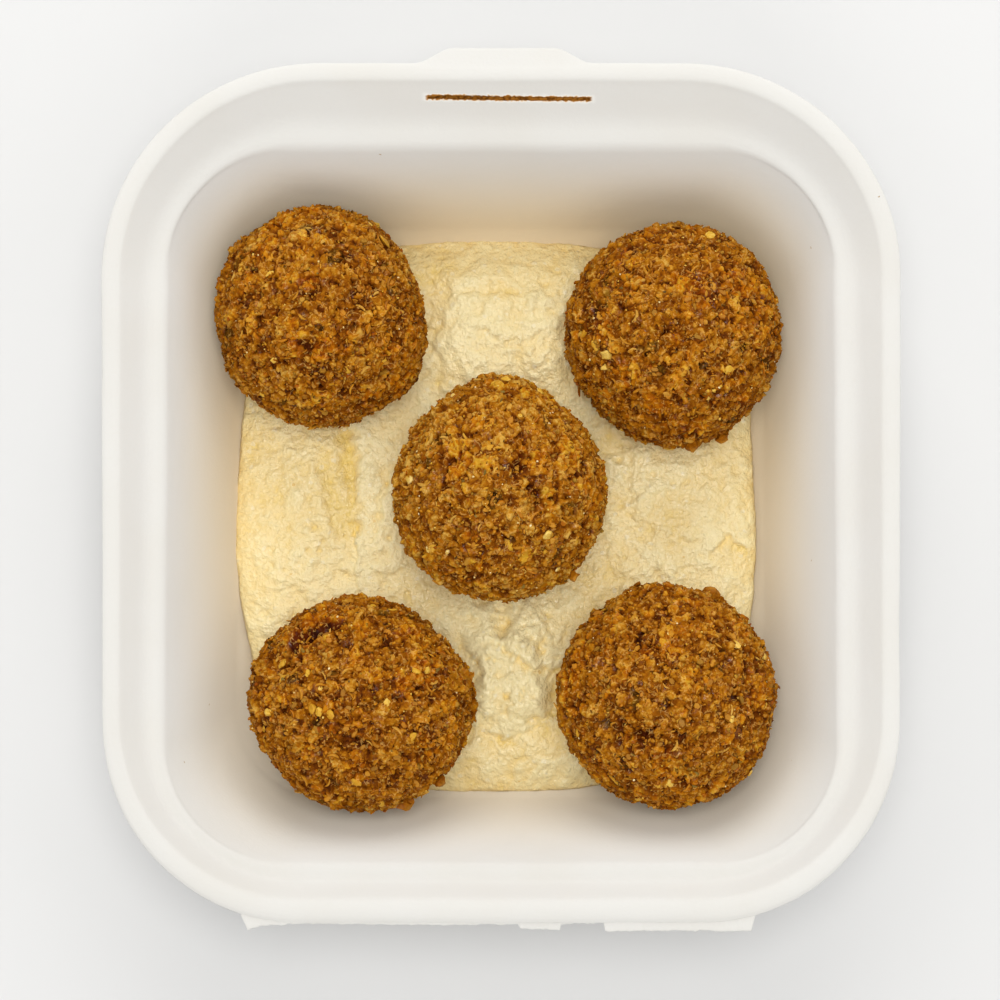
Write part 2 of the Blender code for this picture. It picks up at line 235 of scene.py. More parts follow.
def makeGroup(name, sockets):
    # An empty node group: sockets are (name, "in" or "out", kind, default)
    group = bpy.data.node_groups.new(name, "ShaderNodeTree")
    for title, way, kind, start in sockets:
        side = "INPUT" if way == "in" else "OUTPUT"
        socket = group.interface.new_socket(title, in_out=side, socket_type="NodeSocket" + kind)
        if start is not None:
            socket.default_value = start
    return group, group.nodes.new("NodeGroupInput").outputs, group.nodes.new("NodeGroupOutput").inputs


def makeGrainGroup():
    # Fine grain in two sizes: a height for bumps and a share for colour
    group, given, result = makeGroup("fineGrain", (
        ("Vector", "in", "Vector", None), ("Grains per metre", "in", "Float", 900.0),
        ("Roughness", "in", "Float", 0.6), ("Height", "out", "Float", None), ("Share", "out", "Float", None)))
    fine = noiseNode(group, given["Vector"], given["Grains per metre"], 2.0, Roughness=given["Roughness"])
    coarseScale = mathNode(group, "MULTIPLY", given["Grains per metre"], 0.22)
    coarse = noiseNode(group, given["Vector"], coarseScale, 2.0, Roughness=given["Roughness"])
    both = mathNode(group, "ADD", fine[0], coarse[0])
    height = mathNode(group, "MULTIPLY", both, 0.5)
    group.links.new(height, result["Height"])
    group.links.new(rangeNode(group, height, 0.38, 0.62), result["Share"])
    return group


def makeSpeckGroup():
    # Sparse round specks: a mask that is 1 inside a speck
    group, given, result = makeGroup("sparseSpecks", (
        ("Vector", "in", "Vector", None), ("Specks per metre", "in", "Float", 300.0),
        ("Size", "in", "Float", 0.15), ("Rarity", "in", "Float", 0.8), ("Mask", "out", "Float", None)))
    moved = stirPlace(group, given["Vector"], noiseNode(group, given["Vector"], 1400.0, 0.0), 0.0006)
    cells = addNode(group, "TexVoronoi", {"Vector": moved, "Scale": given["Specks per metre"]})
    parts = addNode(group, "SeparateColor", {0: cells.outputs["Color"]})
    inside = mathNode(group, "LESS_THAN", cells.outputs["Distance"], given["Size"])
    chosen = mathNode(group, "GREATER_THAN", parts.outputs[0], given["Rarity"])
    group.links.new(mathNode(group, "MULTIPLY", inside, chosen), result["Mask"])
    return group


def makeBubbleGroup():
    # What frying leaves in a crust: small round pits, and thin pale rims that run part of the way round its
    # scales, which are a painted highlight
    group, given, result = makeGroup("bubblePitsAndRimHighlights", (
        ("Vector", "in", "Vector", None), ("Bubbles per metre", "in", "Float", 750.0),
        ("Pit", "out", "Float", None), ("Rim highlight", "out", "Float", None)))
    shift = noiseNode(group, given["Vector"], 900.0, 1.0)
    moved = stirPlace(group, given["Vector"], shift, 0.0009)
    cells = addNode(group, "TexVoronoi", {"Vector": moved, "Scale": given["Bubbles per metre"]})
    parts = addNode(group, "SeparateColor", {0: cells.outputs["Color"]})
    size = mathNode(group, "MULTIPLY_ADD", parts.outputs[0], 0.5, -0.24)
    inside = mathNode(group, "SUBTRACT", size, cells.outputs["Distance"])
    group.links.new(rangeNode(group, inside, -0.03, 0.05), result["Pit"])
    scales = addNode(group, "TexVoronoi", {"Vector": moved, "Scale": given["Bubbles per metre"]},
                     feature="DISTANCE_TO_EDGE")
    broken = rangeNode(group, shift[0], 0.5, 0.62)
    rim = mathNode(group, "MULTIPLY", rangeNode(group, scales.outputs["Distance"], 0.10, 0.03), broken)
    group.links.new(rim, result["Rim highlight"])
    return group


def makeFriedGroup():
    # Colour of fried crumb from its tone, 0 dark to 1 pale, its hue, 0 olive over ochre to 1 orange, and how
    # deep it lies, 0 in a pit to 1 on a crest, from which it paints shade into pits and a highlight onto
    # crests
    group, given, result = makeGroup("friedColourAndShade", (
        ("Tone", "in", "Float", 0.5), ("Hue", "in", "Float", 0.5), ("Depth", "in", "Float", 0.8),
        ("Grain", "in", "Float", 0.5), ("Colour", "out", "Color", None)))
    mottled = mathNode(group, "MULTIPLY_ADD", given["Grain"], 0.26, -0.13)
    tone = mathNode(group, "ADD", given["Tone"], mottled)
    ochre = rampColour(group, tone, (
        (0.0, (0.13, 0.033, 0.001)), (0.25, (0.28, 0.082, 0.002)), (0.5, (0.45, 0.158, 0.005)),
        (0.75, (0.62, 0.27, 0.018)), (1.0, (0.82, 0.52, 0.16))))
    orange = rampColour(group, tone, (
        (0.0, (0.22, 0.042, 0.001)), (0.4, (0.50, 0.14, 0.003)), (0.7, (0.70, 0.27, 0.008)),
        (1.0, (0.84, 0.50, 0.06))))
    olive = rampColour(group, tone, (
        (0.0, (0.10, 0.042, 0.004)), (0.5, (0.29, 0.14, 0.014)), (1.0, (0.48, 0.29, 0.05))))
    colour = blendColour(group, rangeNode(group, given["Hue"], 0.22, 0.08), ochre, olive)
    colour = blendColour(group, rangeNode(group, given["Hue"], 0.58, 0.78), colour, orange)
    # Painted highlight: the highest crests drawn towards a pale tan
    colour = blendColour(group, rangeNode(group, given["Depth"], 0.8, 1.0, 0.0, 0.4), colour,
                         (0.80, 0.46, 0.11, 1))
    # Painted shade: darker the deeper the crumb lies; the top stop also tones the whole colour down
    shade = rampColour(group, given["Depth"], (
        (0.0, (0.15, 0.067, 0.02)), (0.3, (0.39, 0.28, 0.14)), (0.6, (0.645, 0.575, 0.34)),
        (1.0, (0.74, 0.67, 0.42))))
    group.links.new(blendColour(group, 1.0, colour, shade, "MULTIPLY"), result["Colour"])
    return group


grainGroup = makeGrainGroup()
speckGroup = makeSpeckGroup()
bubbleGroup = makeBubbleGroup()
friedGroup = makeFriedGroup()


def useGrain(tree, place, perMetre, roughness=0.6):
    return useGroup(tree, grainGroup, {"Vector": place, "Grains per metre": perMetre, "Roughness": roughness})


def speckMask(tree, place, perMetre, size, rarity):
    sockets = {"Vector": place, "Specks per metre": perMetre, "Size": size, "Rarity": rarity}
    return useGroup(tree, speckGroup, sockets)["Mask"]


def friedColourAndShade(tree, grain):
    # The fried colour for the tone, hue and depth that the mesh carries, with its painted shade and highlight
    sockets = {name: readAttribute(tree, name.lower()) for name in ("Tone", "Hue", "Depth")}
    return useGroup(tree, friedGroup, {**sockets, "Grain": grain["Share"]})["Colour"]


# Pulp box: the moulded base with its rim, lock tab and slot

pulpBox = {
    "height": 44.0, "wall": 1.0, "floorTop": 1.0,
    "rimHalfX": 76.2, "rimHalfY": 82.25, "rimTaper": 0.011,
    "cornerRadius": {"back": 41.5, "front": 37.5}, "mouthCorner": 23.0, "footCorner": 18.0,
    "lip": ((0.0, 1.1), (0.5, 0.5), (1.3, 0.15), (2.3, 0.0), (3.3, 0.2), (3.8, 0.9)),  # (inset, depth)
    "lipWidth": {"side": 3.8, "back": 4.0, "front": 4.7},
    "rampFall": 6.2, "rampRun": {"side": 5.3, "back": 8.9, "front": 3.4}, "rampStraight": 0.5,
    "shoulderRun": {"side": 0.6, "back": 0.1, "front": 1.0}, "shoulderFall": 0.1,
    "mouthRounding": {"side": 2.0, "back": 3.0, "front": 2.0}, "draft": math.radians(20), "floorFillet": 8.0,
    "rampRows": 8, "mouthRows": 6, "innerRows": 96, "outerRows": 62, "rimCrowding": 1.35, "edgeBulge": 0.12,
    "cornerStops": 46, "straightStops": 56,
    "waves": 0.10, "felt": 0.03,
    "white": (0.728, 0.718, 0.69, 1), "warm": (0.708, 0.689, 0.645, 1), "fleck": (0.45, 0.33, 0.20, 1),
    # Painted light: a yellow glow bounced from the hummus, low on the inner walls and strongest towards the
    # back
    "paintedBounce": (0.755, 0.635, 0.435, 1),
    "paintedBounceBelow": (0.038, 0.005), "paintedBounceBack": (-0.06, 0.03, 0.55, 1.0),
}
lockTab = {"x": 0.4, "flatHalf": 9.6, "flank": 7.6, "reach": 3.0}
tongueSlot = {
    "x": 1.5, "y": 75.9, "z": 40.6, "length": 31.4, "width": 0.72, "depth": 8.0,
    "tilt": math.radians(12), "turn": -0.012, "raggedness": 0.4, "wander": 0.12,
    "fringe": {"width": 1.3, "thickness": 0.7, "slope": 0.93, "sink": 0.6, "raggedness": 0.26, "stops": 420},
    "scorch": (0.17, 0.052, 0.003, 1), "singed": (0.38, 0.15, 0.018, 1), "tan": (0.78, 0.56, 0.31, 1),
    # Painted highlight: near white along the slot's raised burr
    "burrHighlight": (0.93, 0.92, 0.89, 1),
    # Metres from the slot's line and, for the ends, from its middle: (none, full)
    "burntWithin": (0.00005, -0.0001), "hazeWithin": (0.0002, -0.00005), "burrHighlightWithin": (0.0006, 0.0),
    "edgeWander": -0.0009, "scorchEnds": (0.0163, 0.0156), "burrHighlightEnds": (0.0172, 0.0158, 0.0, 0.5),
}


def wallProfile(side):
    # From the trimmed edge over the lip, down the ramp, straight and then easing out, the shoulder, the
    # leaning wall and the fillet into the floor, as rows of (inset, height)
    box = pulpBox
    steep = math.pi / 2 - box["draft"]
    widening = box["lipWidth"][side] / box["lip"][-1][0]
    lip = np.array([(inset * widening, box["height"] - depth) for inset, depth in box["lip"]])
    run = np.linspace(0, 1, box["rampRows"] + 1)[1:]
    straight = box["rampStraight"]
    fall = (run - np.maximum(run - straight, 0) ** 2 / (2 * (1 - straight))) * 2 / (1 + straight)
    ramp = lip[-1] + np.column_stack((box["rampRun"][side] * run, -box["rampFall"] * fall))
    shoulder = ramp[-1] + np.array((box["shoulderRun"][side], -box["shoulderFall"]))
    turn = np.linspace(0, steep, box["mouthRows"] + 1)[1:]
    mouth = shoulder + box["mouthRounding"][side] * np.column_stack((np.sin(turn), np.cos(turn) - 1))
    fillet = box["floorFillet"]
    footHeight = box["floorTop"] + fillet * (1 - math.sin(box["draft"]))
    footInset = mouth[-1][0] + (mouth[-1][1] - footHeight) * math.tan(box["draft"])
    turn = np.linspace(box["draft"], math.pi / 2, 9)
    foot = np.array((footInset + fillet * math.cos(box["draft"]), box["floorTop"] + fillet))
    foot = foot - fillet * np.column_stack((np.cos(turn), np.sin(turn)))
    return np.vstack((lip, ramp, shoulder[None], mouth, foot))


def outerSkin(profile):
    # The profile moved a wall's thickness away from the cavity
    along = np.gradient(profile, axis=0)
    along[-1] = (1, 0)
    along = unitRows(along)
    moved = profile + pulpBox["wall"] * np.column_stack((along[:, 1], -along[:, 0]))
    moved[0] = (0, profile[0][1] - pulpBox["wall"])
    return moved


def boxRows():
    # Every row of the box from the floor's middle up the cavity, over the edge and down outside. The columns
    # are inset and height at side, back and front, then corner radius at back and front, taper and tab share
    box = pulpBox
    inner = {side: wallProfile(side) for side in box["rampRun"]}
    outer = {side: outerSkin(profile) for side, profile in inner.items()}
    count = len(inner["side"])
    rampEnd = len(box["lip"]) + box["rampRows"]
    mouthEnd = rampEnd + box["mouthRows"]
    knots = (0, len(box["lip"]) - 1, mouthEnd, mouthEnd + 1, count - 1)
    closing = box["footCorner"] - box["floorFillet"] * math.cos(box["draft"])
    rows = []
    for skin, amount in ((inner, box["innerRows"]), (outer, box["outerRows"])):
        grow = inner["side"][:, 0] - skin["side"][:, 0]
        columns = [skin[side][:, axis] for side in ("side", "back", "front") for axis in (0, 1)]
        for end in ("back", "front"):
            rim = box["cornerRadius"][end]
            radii = (rim, rim - box["lip"][-1][0], box["mouthCorner"], box["footCorner"], closing)
            columns.append(np.interp(range(count), knots, radii) + grow)
        columns.append(box["rimTaper"] * np.clip(1 - np.arange(count) / rampEnd, 0, 1))
        columns.append((np.arange(count) == 0) * 1.0)
        rows.append(evenRows(np.column_stack(columns), amount))
    edge = (rows[0][0] + rows[1][0]) / 2
    edge[[0, 2, 4]] = -box["edgeBulge"]
    return np.vstack((rows[0][::-1], edge, rows[1]))


def evenRows(table, amount):
    # Rounds the profile's corners by cutting them twice, then spaces its rows closer together near the rim
    for cut in range(2):
        near = 0.8 * table[:-1] + 0.2 * table[1:]
        far = 0.2 * table[:-1] + 0.8 * table[1:]
        between = np.stack((near, far), axis=1).reshape(-1, table.shape[1])
        table = np.vstack((table[:1], between, table[-1:]))
    steps = np.linalg.norm(np.diff(table[:, :2], axis=0), axis=1)
    length = np.concatenate(([0], np.cumsum(steps)))
    stops = length[-1] * np.linspace(0, 1, amount) ** pulpBox["rimCrowding"]
    return np.column_stack([np.interp(stops, length, column) for column in table.T])


def boxPoints(rows):
    # A rounded rectangle for each row, drawn in from the rim by the row's inset; its height eases from side
    # to end by the square of the cosine of the turn
    box = pulpBox
    corner, share = [], []
    for number in range(4):
        corner += [(number, number, step / box["cornerStops"]) for step in range(box["cornerStops"] + 1)]
        share += [0.0] * (box["cornerStops"] + 1)
        corner += [(number, (number + 1) % 4, 1.0)] * (box["straightStops"] - 1)
        share += [step / box["straightStops"] for step in range(1, box["straightStops"])]
    corner, share = np.array(corner), np.array(share)
    turn = math.pi / 2 * (corner[:, 0] + corner[:, 2])
    sides, backs, fronts = (rows[:, k, None] for k in (0, 2, 4))
    halfX = box["rimHalfX"] - sides
    signX = np.array((1, -1, -1, 1))
    signY = np.array((1, 1, -1, -1))
    ends = []
    for which in (0, 1):
        number = corner[:, which].astype(int)
        back = signY[number] > 0
        radius = np.where(back, rows[:, 6, None], rows[:, 7, None])
        endY = np.where(back, box["rimHalfY"] - backs, -box["rimHalfY"] + fronts)
        ends.append((signX[number] * (halfX - radius) + radius * np.cos(turn),
                     endY - signY[number] * radius + radius * np.sin(turn)))
    x = (1 - share) * ends[0][0] + share * ends[1][0]
    y = (1 - share) * ends[0][1] + share * ends[1][1]
    endZ = np.where(y > 0, rows[:, 3, None], rows[:, 5, None])
    z = np.cos(turn) ** 2 * rows[:, 1, None] + np.sin(turn) ** 2 * endZ
    x = x * (1 + rows[:, 8, None] * y / box["rimHalfY"])
    y = y + (y > 0) * rows[:, 9, None] * tabReach(x)
    return np.stack((x, y, z), axis=-1)


def tabReach(x):
    # Flat in the middle, with flanks that ease down as half a cosine
    past = np.clip((np.abs(x - lockTab["x"]) - lockTab["flatHalf"]) / lockTab["flank"], 0, 1)
    return lockTab["reach"] * (0.5 + 0.5 * np.cos(math.pi * past))


def slotWander(x):
    # How far the slot strays from a straight line: a slight turn and some noise
    probe = np.stack((x, 0 * x, 0 * x), axis=-1).reshape(-1, 3)
    return tongueSlot["turn"] * x + tongueSlot["wander"] * latticeNoise(probe, 4, 75).reshape(x.shape)


def slotBlade():
    # A flat closed tube along x, tilted as the punch went in: each side keeps its own ragged distance from a
    # line that wanders a little, and both close in at the ends
    slot = tongueSlot
    along = np.linspace(-0.5, 0.5, 110) * slot["length"]
    around = np.array(((-1, -1), (-1, 0), (-1, 1), (1, 1), (1, 0), (1, -1)))
    x = np.repeat(along[:, None], len(around), axis=1)
    side = around[:, 0] + 0 * x
    closing = np.sqrt(np.clip(1 - (2 * np.abs(x) / slot["length"]) ** 3, 0.05, 1))
    probe = np.stack((x, side * 9, 0 * x), axis=-1).reshape(-1, 3)
    ragged = np.clip(1 + slot["raggedness"] * cloudNoise(probe, 1.3, 71).reshape(x.shape), 0.3, 2)
    y = side * slot["width"] / 2 * closing * ragged + slotWander(x)
    z = around[:, 1] * slot["depth"] / 2 + 0 * x
    tilt = slot["tilt"]
    y, z = y * math.cos(tilt) - z * math.sin(tilt), y * math.sin(tilt) + z * math.cos(tilt)
    points = np.stack((x + slot["x"], y + slot["y"], z + slot["z"]), axis=-1).reshape(-1, 3)
    mesh = makeMesh("slotBlade", points, gridFaces(len(along), len(around)), shut=True)
    blade = bpy.data.objects.new("slotBlade", mesh)
    bpy.context.scene.collection.objects.link(blade)
    return blade


def makePulpMaterial():
    # Warm white felted pulp with faint mottling, sparse flecks, and the slot's scorched edge with a painted
    # highlight along it, and painted yellow light low on the inner walls, as though bounced from the hummus
    material, tree, shader, place = newMaterial("mouldedPulp", {
        "Roughness": 0.82, "Diffuse Roughness": 0.7, "Specular IOR Level": 0.12})
    felt = useGrain(tree, place, 1500.0, 0.65)
    fibres = addNode(tree, "Mapping", {
        "Vector": place, "Scale": (1.0, 2.6, 1.6), "Rotation": (0.3, 0.5, 0.8)})
    fibre = noiseNode(tree, fibres.outputs[0], 700.0, 2.0)
    cloud = noiseNode(tree, place, 45.0, 2.0)
    colour = blendColour(tree, rangeNode(tree, cloud[0], 0.35, 0.75, 0.0, 0.5),
                         pulpBox["white"], pulpBox["warm"])
    colour = blendColour(tree, rangeNode(tree, fibre[0], 0.52, 0.75, 0.0, 0.22), colour, pulpBox["warm"])
    colour = blendColour(tree, speckMask(tree, place, 260.0, 0.05, 0.94), colour, pulpBox["fleck"])
    # Painted bounce light: yellow on the inner walls near the floor, more of it towards the back
    sides = addNode(tree, "SeparateXYZ", {0: place})
    low = rangeNode(tree, sides.outputs["Z"], *pulpBox["paintedBounceBelow"])
    back = rangeNode(tree, sides.outputs["Y"], *pulpBox["paintedBounceBack"])
    bounceShare = mathNode(tree, "MULTIPLY", mathNode(tree, "MULTIPLY", low, back), readAttribute(tree, "inner"))
    colour = blendColour(tree, bounceShare, colour, pulpBox["paintedBounce"])
    slot = tongueSlot
    centre = (slot["x"] * mm, (slot["y"] + rimMiddleY) * mm, slot["z"] * mm)
    shifted = addNode(tree, "VectorMath", {0: place, 1: centre}, operation="SUBTRACT")
    turned = addNode(tree, "Mapping", {"Vector": shifted.outputs[0], "Rotation": (-slot["tilt"], 0, 0)})
    wander = noiseNode(tree, place, 1300.0, 3.0)
    parts = addNode(tree, "SeparateXYZ", {0: turned.outputs[0]})
    straight = mathNode(tree, "MULTIPLY_ADD", parts.outputs["X"], -slot["turn"], parts.outputs["Y"])
    across = mathNode(tree, "ABSOLUTE", straight)
    along = mathNode(tree, "ABSOLUTE", parts.outputs["X"])
    ragged = mathNode(tree, "MULTIPLY_ADD", wander[0], slot["edgeWander"], across)
    brown = blendColour(tree, rangeNode(tree, wander[0], 0.4, 0.62), slot["scorch"], slot["singed"])
    # From the outside in: a painted highlight on the burr, then the tan scorch haze and the burnt edge
    for within, ends, finish in (("burrHighlightWithin", "burrHighlightEnds", slot["burrHighlight"]),
                                 ("hazeWithin", "scorchEnds", slot["tan"]),
                                 ("burntWithin", "scorchEnds", brown)):
        share = mathNode(tree, "MULTIPLY", rangeNode(tree, ragged, *slot[within]),
                         rangeNode(tree, along, *slot[ends]))
        colour = blendColour(tree, share, colour, finish)
    tree.links.new(colour, shader.inputs["Base Color"])
    addBump(tree, shader, felt["Height"], 0.4, 0.0002)
    return material


def markInside(mesh):
    # Keep on each point whether its surface looks up or towards the box's middle: 1 inside and 0 outside
    places = np.empty(3 * len(mesh.vertices), dtype=np.float32)
    normals = places.copy()
    mesh.vertices.foreach_get("co", places)
    mesh.vertex_normals.foreach_get("vector", normals)
    flat = places.reshape(-1, 3)[:, :2]
    normals = normals.reshape(-1, 3)
    inwards = -np.sum(flat * normals[:, :2], axis=1) / np.maximum(np.hypot(flat[:, 0], flat[:, 1]), 0.001)
    inner = (inwards + normals[:, 2] > 0).astype(np.float32)
    mesh.attributes.new("inner", "FLOAT", "POINT").data.foreach_set("value", inner)


def makePulpBox(material):
    rows = boxRows()
    points = boxPoints(rows)
    shape = points.shape
    points = points.reshape(-1, 3)
    sway = np.clip(points[:, 2:] / 8, 0, 1) * pulpBox["waves"] * driftNoise(points, 13, 21)
    felt = np.clip(points[:, 2:] / 3, 0, 1) * pulpBox["felt"] * driftNoise(points, 1.9, 31)
    mesh = makeMesh("pulpBox", points + sway + felt, gridFaces(shape[0], shape[1]), shut=True)
    box = makePiece(mesh, material, "pulp", "pulp_box")
    blade = slotBlade()
    cut = box.modifiers.new("Slot", "BOOLEAN")
    cut.operation = "DIFFERENCE"
    cut.object = blade
    cut.solver = "EXACT"
    shaped = bpy.data.meshes.new_from_object(box.evaluated_get(bpy.context.evaluated_depsgraph_get()))
    box.modifiers.clear()
    box.data = shaped
    shaped.name = "pulpBox"
    markInside(shaped)
    bpy.data.objects.remove(blade)
    return box


def makeSlotFringe(material):
    # Torn fibres that fill the slot just under its mouth: a flat closed tube that lies along the ramp
    slot, fringe = tongueSlot, tongueSlot["fringe"]
    along = np.linspace(-0.5, 0.5, fringe["stops"]) * (slot["length"] + 0.4)
    turn = np.linspace(0, 2 * math.pi, 14, endpoint=False)
    x = np.repeat(along[:, None], len(turn), axis=1)
    across = fringe["width"] / 2 * np.cos(turn) + 0 * x
    up = fringe["thickness"] / 2 * np.sin(turn) + fringe["slope"] * across - fringe["sink"]
    probe = np.stack((x, across, up), axis=-1).reshape(-1, 3)
    ragged = fringe["raggedness"] * (cloudNoise(probe, 0.9, 77) + 0.6 * latticeNoise(probe, 0.3, 79))
    points = np.stack((x + slot["x"], across + slotWander(x) + slot["y"],
                       up + ragged.reshape(x.shape) + slot["z"]), axis=-1)
    mesh = makeMesh("slotFringe", points.reshape(-1, 3), gridFaces(len(along), len(turn)), shut=True)
    return makePiece(mesh, material, "pulp", "pulp_box")


# Hinge strip: what the torn lid left along the front edge

hingeStrip = {
    "top": 42.7, "thickness": 0.7, "overlap": 2.6,
    "tear": ((-49.3, -1.2), (-48.0, 1.6), (-46.8, 1.0), (-40.0, 0.35), (-10.0, 0.6), (3.2, 0.4), (3.7, 1.3),
             (11.1, 1.6), (11.4, 0.5), (19.4, 0.15), (19.7, 1.8), (34.0, 1.65), (47.4, 1.8), (48.2, -1.0)),
    "raggedness": 0.11, "stops": 700,
}


def rimFront(x):
    # The rim's front line: straight, then the corner's arc
    box = pulpBox
    radius = box["cornerRadius"]["front"]
    past = np.clip(np.abs(x) - (box["rimHalfX"] - radius), 0, radius)
    return -box["rimHalfY"] + radius - np.sqrt(radius**2 - past**2)


def makeHingeStrip(material):
    # A thin closed section carried along x: its outer edge follows the tear with fine ragged noise
    strip = hingeStrip
    x = np.linspace(strip["tear"][0][0], strip["tear"][-1][0], strip["stops"])
    reach = np.interp(x, *np.array(strip["tear"]).T)
    probe = np.column_stack((x, 0 * x, 0 * x))
    reach = reach + strip["raggedness"] * (cloudNoise(probe, 1.3, 41) + 0.5 * latticeNoise(probe, 0.35, 45))
    tip = -pulpBox["rimHalfY"] - reach
    root = np.maximum(rimFront(x) + strip["overlap"], tip + 1.0)
    share = np.array((0.0, 0.45, 0.8, 0.95, 1.0, 0.97, 0.8, 0.45, 0.0))
    level = np.array((0.0, 0.0, 0.12, 0.3, 0.5, 0.75, 0.9, 1.0, 1.0))
    y = root[:, None] + (tip - root)[:, None] * share
    wave = 0.12 * cloudNoise(probe, 7, 51) + 0.06 * latticeNoise(probe, 0.9, 55)
    z = strip["top"] - strip["thickness"] * level + wave[:, None]
    points = np.stack((x[:, None] + 0 * y, y, z), axis=-1).reshape(-1, 3)
    mesh = makeMesh("hingeStrip", points, gridFaces(len(x), len(share)), shut=True)
    return makePiece(mesh, material, "pulp", "pulp_box")


# Hummus: the spread bed, dented by the balls, with the spoon's marks

hummusBed = {
    "leftX": 54.2, "rightX": 52.4, "backY": 54.4, "frontY": -59.6, "squareness": 3.4, "fineness": 300,
    "waves": ((0.004, 5, 1.0), (0.003, 11, 0.0), (0.013, 4, -1.57)), "scallops": 0.15,
    "bulk": 7.6, "edge": 4.4, "least": 1.0, "foot": ((0.995, 0.5), (0.975, 1.6), (0.95, 3.4), (0.905, 7.6)),
    "thinFront": (2.0, 50.0, 59.0), "thinBack": (3.4, 45.0, 54.0),  # (drop, from, to)
    "swells": {  # (height, middle, half size, squareness)
        "tongueBack": (1.5, (0.5, 33.0), (12.2, 9.2), 8),
        "tongueFoot": (0.9, (3.5, 27.0), (15.0, 9.0), 4),
        "nose": (2.6, (1.8, -34.5), (7.2, 9.6), 4),
        "noseTip": (0.8, (4.6, -41.5), (3.6, 2.6), 3),
        "rightArm": (1.3, (9.0, -27.5), (9.5, 7.5), 3),
        "leftArm": (0.9, (-8.0, -27.0), (8.5, 6.5), 2),
        "leftLobe": (0.8, (-37.0, 2.0), (7.0, 14.0), 3),
        "rightLobe": (0.7, (30.0, 4.0), (6.0, 9.0), 3),
        "backHollow": (-1.1, (-14.8, 38.0), (2.2, 8.0), 2),
        "underNose": (-0.9, (-4.5, -46.0), (5.0, 3.0), 2),
        "sidePocket": (-1.6, (10.6, -40.8), (1.8, 3.2), 2),
        "valley": (-1.2, (0.2, -26.0), (1.5, 3.2), 2),
    },
    "strokes": {  # (depth, half width, points), with the higher side on the left along the way
        "furrow": (1.15, 1.5, ((-30.9, 13.0), (-29.7, 7.5), (-29.9, 2.6), (-29.6, -5.4))),
        "foldByCentre": (0.6, 0.6, ((-22.9, 4.2), (-24.0, -0.1), (-24.8, -3.6))),
        "tongueLine": (0.4, 0.7, ((12.6, 44.5), (11.4, 42.0), (3.0, 41.5), (-3.9, 42.6), (-8.6, 42.4),
                                  (-11.4, 39.2), (-13.2, 33.0))),
        "tongueInner": (0.4, 0.5, ((-5.1, 34.7), (-2.6, 33.7), (0.4, 32.4))),
        "rightArmEdge": (0.7, 0.6, ((1.8, -22.8), (1.5, -25.3), (0.3, -28.5))),
        "rightArmLower": (0.8, 0.55, ((0.8, -30.0), (4.6, -32.9), (7.3, -34.3), (10.5, -34.4))),
        "noseNotch": (0.7, 0.5, ((-6.2, -31.5), (-4.7, -33.5), (-4.5, -36.0))),
        "noseCorner": (0.7, 0.5, ((6.2, -44.3), (8.6, -42.9))),
        "swirl": (0.55, 0.5, ((-6.5, -45.6), (-2.2, -47.6), (0.8, -48.4), (4.6, -47.0), (7.5, -45.5))),
        "curl": (0.6, 0.55, ((1.0, -48.6), (5.2, -50.8), (4.6, -52.4), (3.0, -54.6), (2.2, -57.0))),
        "slant": (0.5, 0.5, ((12.9, -51.3), (10.0, -52.4), (6.8, -54.6), (4.6, -57.0))),
        "arch": (0.9, 0.5, ((43.9, -9.3), (45.4, -8.5), (46.5, -7.8), (47.8, -8.6), (49.4, -9.3))),
        "archTail": (0.35, 0.4, ((49.2, -9.2), (50.4, -11.0))),
        "rightCrease": (0.3, 0.6, ((27.4, 1.6), (30.3, 0.5), (33.3, 0.1), (35.7, 2.0), (38.3, 4.0))),
        "dashOne": (0.35, 0.4, ((-31.2, -14.5), (-29.4, -14.9))),
        "dashTwo": (0.4, 0.35, ((-25.6, -14.0), (-24.4, -15.0))),
    },
    "dimples": ((-23.1, 3.2), (-22.8, -7.7), (-36.7, -10.4), (-37.9, -5.6), (-46.4, -13.1), (-21.4, -20.1),
                (23.9, 7.9), (30.9, 5.2), (34.7, 3.4), (24.6, -1.2), (22.1, -14.1), (8.8, 44.0), (2.4, 37.3)),
    "dimpleDepth": 0.6, "dimpleHalf": 0.5, "ballTouch": 0.25, "ballRim": 0.5,
    "streaks": {"height": 0.22, "across": 1.15, "slant": 0.22, "middle": (-36.0, 0.0), "half": (9.0, 14.0)},
    "lumps": 0.7, "lumpCell": 3.2, "grain": 0.13, "grainCell": 1.0, "edgeWander": 0.35,
    "paste": 1.0, "pasteCell": 1.6, "smooth": 0.5, "noseMiddle": (2.0, -34.0), "noseHalf": (13.0, 14.0),
    # The tone mixes a real stain with painted light and shade: paler on lumps, grains, lifted marks and
    # swells, deeper yellow in creases and dimples
    "tone": {"base": 0.52, "lumps": 0.25, "grain": 0.6, "marks": 0.5, "swells": 0.05, "stain": 0.25},
    "pale": (0.955, 0.82, 0.453, 1), "body": (0.936, 0.736, 0.336, 1), "deep": (0.907, 0.663, 0.18, 1),
    # The pale specks are a painted highlight; the last colour is a painted shade round the balls
    "speck": (0.78, 0.50, 0.13, 1), "paleSpeckHighlight": (0.97, 0.90, 0.68, 1), "contactShade": (0.78, 0.58, 0.19, 1),
}


def hummusOutline(turn):
    # A superellipse whose reach waves in and out a little
    bed = hummusBed
    halfY = (bed["backY"] - bed["frontY"]) / 2
    power = bed["squareness"]
    halfX = np.where(np.cos(turn) > 0, bed["rightX"], bed["leftX"])
    across, along = np.abs(np.cos(turn)) / halfX, np.abs(np.sin(turn)) / halfY
    reach = (across**power + along**power) ** (-1 / power)
    waves = sum(share * (1 + np.sin(count * turn + shift)) for share, count, shift in bed["waves"])
    return reach * (1 - waves)


